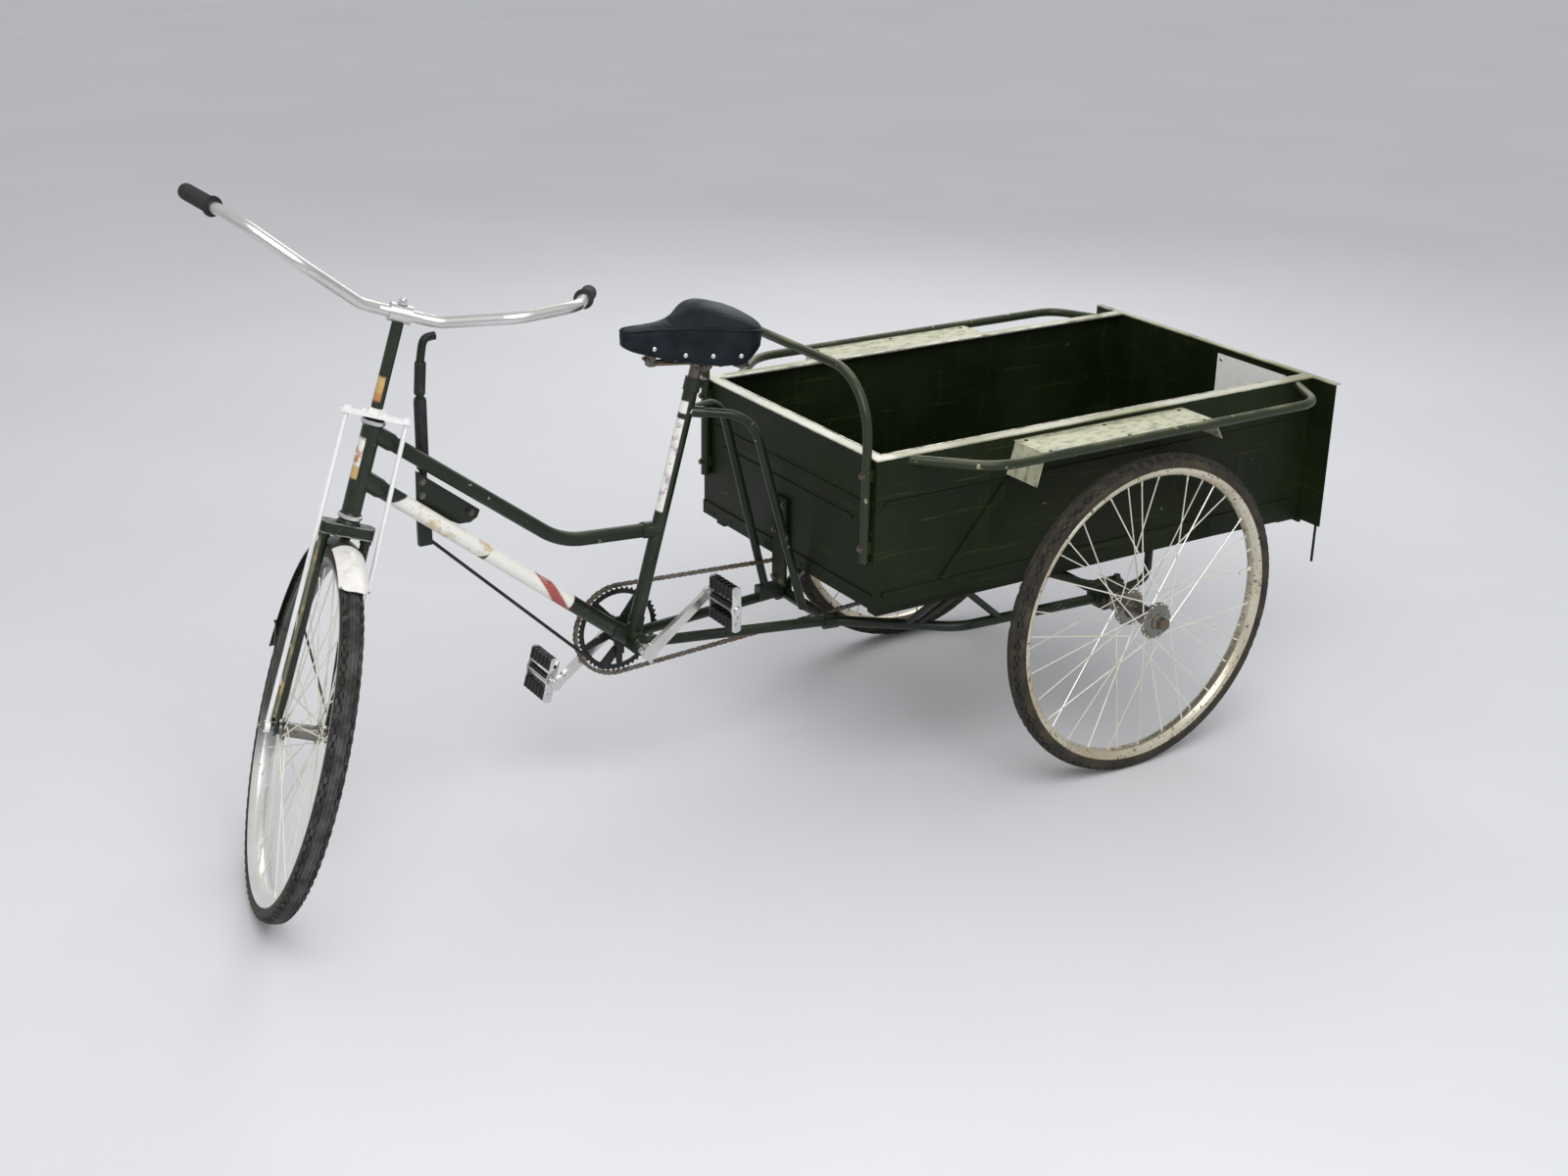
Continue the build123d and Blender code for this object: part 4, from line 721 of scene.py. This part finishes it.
def softened(shape, edges, offset):
    bmesh.ops.bevel(shape, geom=edges, offset=offset, segments=2, profile=0.5, affect="EDGES", material=-1)


def slab(shape, low, high, offset):
    low, high = Vector(low), Vector(high)
    size = high - low
    seat = Matrix.Translation((low + high) / 2) @ Matrix.Diagonal((size.x, size.y, size.z, 1))
    corners = bmesh.ops.create_cube(shape, size=1, matrix=seat)["verts"]
    softened(shape, list({edge for vert in corners for edge in vert.link_edges}), offset)


def marked(shape, first):
    shape.faces.ensure_lookup_table()
    for face in shape.faces[first:]:
        face.material_index = 1


for cad, joint, body, hand, tilt in PEDALS:
    shape = bmesh.new()
    for way in (1, -1):
        x0, x1 = sorted((way * BLOCK_IN, way * BLOCK_OUT))
        slab(shape, (x0, CAGE_IN, VALLEY - BLOCK_HALF), (x1, CAGE_OUT, BLOCK_HALF - VALLEY), 0.001)
        for rib in range(RIBS):
            low, high = (PEDAL_IN + (PEDAL_OUT - PEDAL_IN) * end / RIBS for end in (rib, rib + 1))
            slab(shape, (x0, max(CAGE_IN, low + RIB_GAP), -BLOCK_HALF),
                 (x1, min(CAGE_OUT, high - RIB_GAP), BLOCK_HALF), 0.0012)
    for low, high in ((PEDAL_IN, CAGE_IN), (CAGE_OUT, PEDAL_OUT)):
        plate = shape.faces.new([shape.verts.new((x, low, z)) for x, z in mirrored(CAGE)])
        plate.material_index = 1
        grown = bmesh.ops.extrude_face_region(shape, geom=[plate])["geom"]
        far = [item for item in grown if isinstance(item, bmesh.types.BMVert)]
        bmesh.ops.translate(shape, vec=(0, high - low, 0), verts=far)
        rims = [item for item in grown if isinstance(item, bmesh.types.BMEdge)] + list(plate.edges)
        softened(shape, rims, 0.0008)
    steel_from = len(shape.faces)
    stepped(shape, Vector(), LEFT, *BARREL)
    for way in (1, -1):
        stepped(shape, AHEAD * way * NUT_X, LEFT, *BLOCK_NUTS)
    marked(shape, steel_from)
    pin = Vector(joints[joint]["pos_m"])
    seat = (Matrix.Translation((pin.x, 0, pin.z)) @ Matrix.Rotation(math.radians(tilt), 4, "Y")
            @ Matrix.Diagonal((1, hand, 1, 1)))
    bmesh.ops.transform(shape, matrix=seat, verts=shape.verts)
    bmesh.ops.recalc_face_normals(shape, faces=shape.faces)
    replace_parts(finished(cad + "_blocks", shape, body, "rubber", rubber, chrome), cad)


# Cotter pins
# A tapered pin drawn through each crank's hub by a small nut over a washer.
CRANK_MID, COTTER_AT = 0.077, 0.011
COTTER = ((-0.0205, -0.0190, 0.0062, 18), (-0.0190, -0.0135, 0.0058, 6), (0.0200, 0.0225, 0.0046, 14, 0.0038))
shape = bmesh.new()
for hand, joint in ((1, "left_pedal_turn"), (-1, "right_pedal_turn")):
    pin = Vector(joints[joint]["pos_m"])
    arm = Vector((pin.x - BRACKET.x, 0, pin.z - BRACKET.z)).normalized()
    across = Vector((-arm.z, 0, arm.x))
    stepped(shape, BRACKET + LEFT * hand * CRANK_MID - arm * COTTER_AT, across, *COTTER)
finished("crank_cotters", shape, "crank_body", "chrome", chrome)


# Grips
# Black rubber sleeves with a flange at the inner end, eighteen rings and a domed
# closed tip.
GRIP, GRIP_R, RINGS = 0.118, 0.0155, 18
BAR_BEND, BAR_END = Vector((0.030, 0.305, BAR_T + 0.092)), Vector((-0.190, 0.385, BAR_T + 0.100))
sleeve = [(0.0112, 0.0), (0.0185, 0.0), (0.0192, 0.0015), (0.0185, 0.003), (0.0150, 0.0045)]
for ring in range(RINGS):
    z = 0.008 + ring * (GRIP - 0.022) / RINGS
    sleeve += [(GRIP_R - 0.0012, z), (GRIP_R, z + 0.0014), (GRIP_R, z + 0.0036)]
sleeve += [(GRIP_R, GRIP - 0.012), (0.0150, GRIP - 0.004), (0.0115, GRIP - 0.0006), (0.0045, GRIP + 0.0004),
           (0.0, GRIP + 0.0005)]
shape = bmesh.new()
for hand in (1, -1):
    end, bend = BAR_END * Vector((1, hand, 1)), BAR_BEND * Vector((1, hand, 1))
    out = (end - bend).normalized()
    seat = Matrix.Translation(end - out * GRIP) @ out.to_track_quat("Z", "Y").to_matrix().to_4x4()
    turned(sleeve, 32, STEERED @ seat @ UPRIGHT, shape=shape, closing=0)
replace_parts(finished("ribbed_grips", shape, "steering", "rubber", rubber), "grips")


# Brake linkage
# A black hooked lever with two rubber sleeves, hung on a flat steel plate beside
# the tubes; a thin rod runs down to the arm under the bottom bracket.
LEVER_Y, LEVER_R, ROD_R, FLAT_HALF = -0.0293, 0.0078, 0.0034, 0.0072
HOOK = ((1.380, 1.036), (1.395, 1.0345), (1.403, 1.028), (1.4075, 1.012), (1.4145, 0.960), (1.416, 0.850),
        (1.420, 0.660))
SLEEVES = ((1.411, 0.988, 1.4155, 0.932, 0.0106), (1.4155, 0.916, 1.417, 0.792, 0.0120))
ARM, ARM_T = ((1.040, 0.286), (1.056, 0.300), (1.022, 0.334), (1.002, 0.330)), 0.0065
HANGER = ((1.436, 0.788), (1.410, 0.767), (1.311, 0.689), (1.317, 0.675), (1.332, 0.667), (1.356, 0.668),
          (1.438, 0.716))
HANGER_Y, HANGER_T = -0.0163, 0.005
HANGER_BOLTS = ((1.331, 0.688), (1.425, 0.765), (1.427, 0.738))
HANGER_BOLT = ((0, 0.0012, 0.0072, 18), (0.0012, 0.0055, 0.0055, 6))
LEVER_PIN = ((-0.0130, -0.0072, 0.0070, 6), (-0.0155, -0.0130, 0.0035, 12))


def lofted(shape, rings):
    rings = [[shape.verts.new(point) for point in ring] for ring in rings]
    for a, b in zip(rings, rings[1:]):
        for k in range(len(a)):
            shape.faces.new((a[k - 1], a[k], b[k], b[k - 1]))
    shape.faces.new(rings[0][::-1])
    shape.faces.new(rings[-1])


def tube_along(shape, path, radius, sides=8):
    rings, side = [], None
    for i, point in enumerate(path):
        way = (path[min(i + 1, len(path) - 1)] - path[max(i - 1, 0)]).normalized()
        side = (way.orthogonal() if side is None else side - way * side.dot(way)).normalized()
        up = way.cross(side)
        turns = [math.tau * k / sides for k in range(sides)]
        rings.append([point + (side * math.cos(t) + up * math.sin(t)) * radius for t in turns])
    lofted(shape, rings)


def eased(table, steps=4):
    rows = [Vector(row) for row in table]
    rows = rows[:1] + rows + rows[-1:]
    curve = []
    for a, b, c, d in zip(rows, rows[1:], rows[2:], rows[3:]):
        for t in (k / steps for k in range(steps)):
            curve.append(b + (c - a) * (t / 2) + (a * 2 - b * 5 + c * 4 - d) * (t * t / 2)
                         + (b * 3 - a - c * 3 + d) * (t ** 3 / 2))
    return curve + rows[-1:]


shape = bmesh.new()
tube_along(shape, [at(x, LEVER_Y, z) for x, z in eased(HOOK)], LEVER_R, 16)
slab(shape, at(1.407, LEVER_Y - FLAT_HALF, 0.634), at(1.434, LEVER_Y + FLAT_HALF, 0.715), 0.002)
bar_between(shape, at(1.411, LEVER_Y, 0.643), at(1.050, LEVER_Y, 0.292), ROD_R, 12)
sheet(shape, [at(x, 0, z) for x, z in ARM], LEVER_Y - FLAT_HALF, LEVER_Y - FLAT_HALF + ARM_T)
rubber_from = len(shape.faces)
for x0, z0, x1, z1, radius in SLEEVES:
    top, foot = at(x0, LEVER_Y, z0), at(x1, LEVER_Y, z1)
    stepped(shape, top, foot - top, (0, 1, radius, 24), (-0.05, 0, radius * 0.9, 24, radius),
            (1, 1.05, radius, 24, radius * 0.9))
bmesh.ops.recalc_face_normals(shape, faces=shape.faces)
marked(shape, rubber_from)
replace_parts(finished("hooked_lever", shape, "frame", "frame_paint", frame_enamel, rubber), "brake_linkage")

shape = bmesh.new()
sheet(shape, [at(x, 0, z) for x, z in HANGER], HANGER_Y - HANGER_T, HANGER_Y)
softened(shape, list(shape.edges), 0.001)
bmesh.ops.recalc_face_normals(shape, faces=shape.faces)
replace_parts(finished("lever_hanger", shape, "frame", "frame_paint", frame_enamel), "brake_bracket")

shape = bmesh.new()
stepped(shape, at(1.413, LEVER_Y, 0.644), LEFT, *LEVER_PIN)
for x, z in HANGER_BOLTS:
    stepped(shape, at(x, HANGER_Y, z), LEFT, *HANGER_BOLT)
finished("brake_bolts", shape, "frame", "steel", oiled_steel)


# Saddle cover
# A sprung utility saddle: a stuffed black vinyl cover over a steel base, crowned
# above its piping, with a full skirt below and a blunt turned-up nose.
SEAT_AT = at(0.851, 0, 0.888)
SWELL_CAP = 0.003
SADDLE = (  # x, half width, and heights over the seat tube of crest, piping and lower edge
    (1.014, 0.009, 0.112, 0.108, 0.088), (1.006, 0.016, 0.118, 0.113, 0.080),
    (0.988, 0.020, 0.119, 0.114, 0.071), (0.953, 0.025, 0.118, 0.113, 0.058),
    (0.915, 0.032, 0.122, 0.112, 0.046), (0.885, 0.045, 0.134, 0.113, 0.040),
    (0.857, 0.064, 0.148, 0.114, 0.037), (0.828, 0.082, 0.150, 0.113, 0.036),
    (0.790, 0.098, 0.139, 0.109, 0.041), (0.765, 0.094, 0.130, 0.105, 0.053),
    (0.742, 0.078, 0.117, 0.099, 0.062), (0.722, 0.050, 0.102, 0.090, 0.064),
    (0.706, 0.025, 0.085, 0.078, 0.062), (0.699, 0.008, 0.074, 0.070, 0.063))
vinyl, place = finish_of("saddle_vinyl", Specular_IOR_Level=0.18)
# The cover is coloured darker where the creases sink and lighter on their crests: painted shade and highlight
# along the creases.
creases_and_painted_shade = place.stretched(1, 2.5, 1).noise(24, 6).between(0.35, 0.75)
grain = place.node("TexVoronoi", {"feature": "DISTANCE_TO_EDGE"}, {"Vector": place, "Scale": 420.0})
feed(vinyl, Base_Color=creases_and_painted_shade.blend(tone(0.003, 0.006, 0.009), tone(0.010, 0.016, 0.022)),
     Roughness=creases_and_painted_shade * 0.2 + 0.42, Normal=relief(place, grain * 3 + creases_and_painted_shade, 0.0006))


def saddle_ring(row):
    x, half, crest, piping, low = row
    recess = max(0.0, min(0.016, (half - 0.03) * 0.6))
    crown = [math.radians(15 * k) for k in range(7)]
    side = [(half * math.sin(t), piping + (crest - piping) * math.cos(t)) for t in crown]
    side += [(half * (0.80 + half * 2.4), low + (piping - low) * 0.5), (half * 0.96, low),
             (half * 0.78, low + 0.001), (half * 0.66, low + recess), (0, low + recess)]
    whole = side + [(-y, z) for y, z in side[-2:0:-1]]
    return [at(x, y, SEAT_AT.z + z) for y, z in whole]


def settle(piece):
    bpy.context.view_layer.update()
    graph = bpy.context.evaluated_depsgraph_get()
    mesh = bpy.data.meshes.new_from_object(piece.evaluated_get(graph))
    piece.modifiers.clear()
    piece.data = mesh


def stuffed(name, shape, voxel, material):
    pad = piece_from(name, shape, material)
    remesh = pad.modifiers.new("even", "REMESH")
    remesh.mode = "VOXEL"
    remesh.voxel_size = voxel
    remesh.use_smooth_shade = True
    settle(pad)
    rest = [v.co.copy() for v in pad.data.vertices]
    cloth = pad.modifiers.new("stuffing", "CLOTH")
    cloth.settings.use_pressure = True
    cloth.settings.uniform_pressure_force = 4
    cloth.settings.effector_weights.gravity = 0
    for step in range(1, 21):
        bpy.context.scene.frame_set(step)
    settle(pad)
    bpy.context.scene.frame_set(1)
    for vertex, start in zip(pad.data.vertices, rest):
        move = vertex.co - start
        if move.length > SWELL_CAP:
            vertex.co = start + move.normalized() * SWELL_CAP
    smooth = pad.modifiers.new("smooth", "SUBSURF")
    smooth.levels = smooth.render_levels = 1
    return pad


saddle_rows = eased(SADDLE)
shape = bmesh.new()
lofted(shape, [saddle_ring(row) for row in saddle_rows])
bmesh.ops.recalc_face_normals(shape, faces=shape.faces)
pad = stuffed("saddle_pad", shape, 0.004, vinyl)
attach(pad, "frame")
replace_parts(pad, "saddle")

# Saddle piping and studs
# A round cord sewn in under the crown, and four domed studs a side that pin the
# skirt to the base.
PIPING_R, STUD_R = 0.0026, 0.0052
STUDS = ((0.952, 0.077), (0.892, 0.060), (0.848, 0.060), (0.800, 0.060))
surface = BVHTree.FromObject(pad, bpy.context.evaluated_depsgraph_get())


def on_saddle(x, z, hand):
    start = Vector((at(x, 0, 0).x, hand * 0.3, SEAT_AT.z + z))
    return surface.ray_cast(start, Vector((0, -hand, 0)))[:2]


shape = bmesh.new()
for hand in (1, -1):
    edge = []
    for row in saddle_rows:
        point, normal = on_saddle(row[0], row[3], hand)
        if point:
            edge.append(point + normal * PIPING_R * 0.3)
    tube_along(shape, edge, PIPING_R)
bmesh.ops.recalc_face_normals(shape, faces=shape.faces)
finished("saddle_piping", shape, "frame", "saddle_cover", vinyl)

shape = bmesh.new()
for hand in (1, -1):
    for x, z in STUDS:
        point, normal = on_saddle(x, z, hand)
        flat = normal.to_track_quat("Z", "Y").to_matrix().to_4x4()
        bmesh.ops.create_uvsphere(shape, u_segments=16, v_segments=8, radius=STUD_R,
                                  matrix=Matrix.Translation(point) @ flat @ Matrix.Diagonal((1, 1, 0.5, 1)))
finished("saddle_studs", shape, "frame", "chrome", chrome)


# Saddle springs and clamp
# Two coil springs under the tail, a pair of wire rails to the nose and a clamp
# with a nut each side, all black oiled steel.
COIL_X, COIL_Y, COIL_LOW, COIL_TOP, COIL_R, WIRE, TURNS = 0.772, 0.048, 0.029, 0.064, 0.0138, 0.0024, 4.5
COIL_CUPS = ((COIL_LOW - 0.003, COIL_LOW, 0.0165, 24), (COIL_TOP, COIL_TOP + 0.003, 0.0165, 24),
             (COIL_LOW - 0.008, COIL_LOW - 0.003, 0.0065, 6))
CLAMP_AT, CLAMP, CROSS_BAR = at(0.8419, 0, 0.9208), (-0.030, 0.030, 0.0150, 32), (-COIL_Y, COIL_Y, 0.0050, 12)
CLAMP_NUT = ((0.030, 0.032, 0.0130, 24), (0.032, 0.040, 0.0110, 6), (0.040, 0.044, 0.0050, 12))
NOSE_X, RAIL_R, POST_R = 0.948, 0.0038, 0.0125
RAIL = (  # x, y and height over the clamp
    (COIL_X - 0.022, 0.040, -0.001), (COIL_X - 0.012, 0.030, 0.000), (COIL_X + 0.01, 0.024, 0.001),
    (0.850, 0.019, 0.003), (0.900, 0.013, 0.006), (NOSE_X, 0.009, 0.010), (NOSE_X + 0.012, 0.0085, 0.020))
shape = bmesh.new()
for hand in (1, -1):
    helix = []
    for i in range(91):
        t = math.tau * TURNS * i / 90
        helix.append(at(COIL_X + COIL_R * math.cos(t), hand * COIL_Y + COIL_R * math.sin(t),
                        SEAT_AT.z + COIL_LOW + (COIL_TOP - COIL_LOW) * i / 90))
    tube_along(shape, helix, WIRE)
    stepped(shape, at(COIL_X, hand * COIL_Y, SEAT_AT.z), UP, *COIL_CUPS)
    tube_along(shape, [at(x, hand * y, CLAMP_AT.z + z) for x, y, z in RAIL], RAIL_R, 10)
    stepped(shape, CLAMP_AT, LEFT * hand, *CLAMP_NUT)
stepped(shape, CLAMP_AT, LEFT, CLAMP)
stepped(shape, at(COIL_X, 0, CLAMP_AT.z), LEFT, CROSS_BAR)
bar_between(shape, SEAT_AT - (SEAT_AT - BRACKET).normalized() * 0.003, CLAMP_AT, POST_R, 32)
slab(shape, at(NOSE_X - 0.008, -0.010, CLAMP_AT.z + 0.004), at(NOSE_X + 0.008, 0.010, SEAT_AT.z + 0.064),
     0.002)
bmesh.ops.recalc_face_normals(shape, faces=shape.faces)
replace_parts(finished("saddle_springs", shape, "frame", "steel", oiled_steel), "saddle_frame")


# Box rims, rivets and bolts
# Wire rolled into the inner edge of each rim, rivets through the corners and
# hinge straps, and bolts where plates and clamps are fixed.
BOX_HALF, BOX_FRONT, BOX_REAR, BOX_FLOOR, RIM_W, RAIL_Y = 0.329, 0.634, -0.537, BOX_TOP - 0.312, 0.025, 0.296
HOOP_Y, ARCH_HALF, WIRE_Z, RIM_WIRE_R = 0.445, 0.308, BOX_TOP - 0.002, 0.0034
CORNER_Z = [BOX_FLOOR + 0.030 + 0.063 * i for i in range(5)]
SEAM_X = [BOX_REAR + 0.060 + 0.105 * i for i in range(11)]
SEAM_Y = [0.070 * i for i in range(-4, 5) if i]
SEAM_Z, PLATE_Z, STRAP_Z = BOX_FLOOR + 0.012, BOX_TOP - 0.012, (0.012, 0.050, 0.090)
ARCH_BOLT = ((0, 0.0012, 0.0080, 18), (0.0012, 0.0065, 0.0058, 6))
AXLE_BOLT = ((0, 0.0015, 0.0095, 20), (0.0015, 0.0085, 0.0075, 6))
DROP_BOLT = ((0, 0.0012, 0.0075, 18), (0.0012, 0.0060, 0.0055, 6))
CORNER_RIVET, SEAM_RIVET, PLATE_RIVET, STRAP_RIVET = 0.0048, 0.0045, 0.0042, 0.0050
bare_rim, place = finish_of("bare_rim")
patch_mask = place.noise(34, 6).between(0.35, 0.7)
feed(bare_rim, Base_Color=patch_mask.blend(tone(0.66, 0.65, 0.58), tone(0.20, 0.19, 0.13)), Metallic=1 - patch_mask * 0.7,
     Roughness=patch_mask * 0.3 + 0.3, Normal=relief(place, place.noise(90, 3), 0.0003))


def studded(shape, places, toward, radius):
    flat = toward.to_track_quat("Z", "Y").to_matrix().to_4x4()
    for place in places:
        bmesh.ops.create_uvsphere(shape, u_segments=12, v_segments=6, radius=radius,
                                  matrix=Matrix.Translation(place) @ flat @ Matrix.Diagonal((1, 1, 0.45, 1)))


shape = bmesh.new()
inside_y, inside_x = BOX_HALF - RIM_W, BOX_FRONT - RIM_W
for y in (inside_y, -inside_y):
    bar_between(shape, at(BOX_REAR + 0.001, y, WIRE_Z), at(inside_x, y, WIRE_Z), RIM_WIRE_R, 10)
bar_between(shape, at(inside_x, -inside_y, WIRE_Z), at(inside_x, inside_y, WIRE_Z), RIM_WIRE_R, 10)
finished("rim_wires", shape, "frame", "box_paint", bare_rim)

shape = bmesh.new()
corner_x, corner_y = BOX_FRONT - 0.014, BOX_HALF - 0.014
for hand in (1, -1):
    studded(shape, [at(corner_x, hand * BOX_HALF, z) for z in CORNER_Z], LEFT * hand, CORNER_RIVET)
    studded(shape, [at(BOX_FRONT, hand * corner_y, z) for z in CORNER_Z[1:]], AHEAD, CORNER_RIVET)
    studded(shape, [at(x, hand * BOX_HALF, SEAM_Z) for x in SEAM_X], LEFT * hand, SEAM_RIVET)
    for y in (HOOP_Y - 0.024, BOX_HALF + 0.014):
        studded(shape, [at(x, hand * y, PLATE_Z) for x in (-0.130, 0.075, 0.280)], UP, SEAM_RIVET)
studded(shape, [at(BOX_FRONT + 0.003, y, SEAM_Z) for y in SEAM_Y], AHEAD, SEAM_RIVET)
finished("box_rivets", shape, "frame", "box_paint", box_enamel)

shape = bmesh.new()
for hand in (1, -1):
    for z in (BOX_FLOOR + 0.127, BOX_TOP - 0.035):
        stepped(shape, at(BOX_FRONT + 0.0185, hand * ARCH_HALF, z), AHEAD, *ARCH_BOLT)
    for x in (0.0375, -0.0375):
        stepped(shape, at(x, hand * RAIL_Y, REAR_AXLE.z + 0.030), UP, *AXLE_BOLT)
for z in (BOX_FLOOR - 0.045, BOX_FLOOR + 0.060, BOX_FLOOR + 0.122):
    for y in (-0.022, 0.012):
        stepped(shape, at(BOX_FRONT + 0.009, y, z), AHEAD, *DROP_BOLT)
finished("box_bolts", shape, "frame", "steel", oiled_steel)

shape = bmesh.new()
for y in (0.047, 0.238):
    studded(shape, [at(BOX_REAR + 0.002, y, BOX_TOP - z) for z in (0.123, 0.030)], AHEAD, PLATE_RIVET)
for hand in (1, -1):
    for y in (RAIL_Y - 0.0235, RAIL_Y + 0.0235):
        strap = [at(BOX_REAR - 0.006, hand * y, BOX_FLOOR + z) for z in STRAP_Z]
        studded(shape, strap, -AHEAD, STRAP_RIVET)
finished("tail_rivets", shape, "tail_board_body", "chrome", chrome)
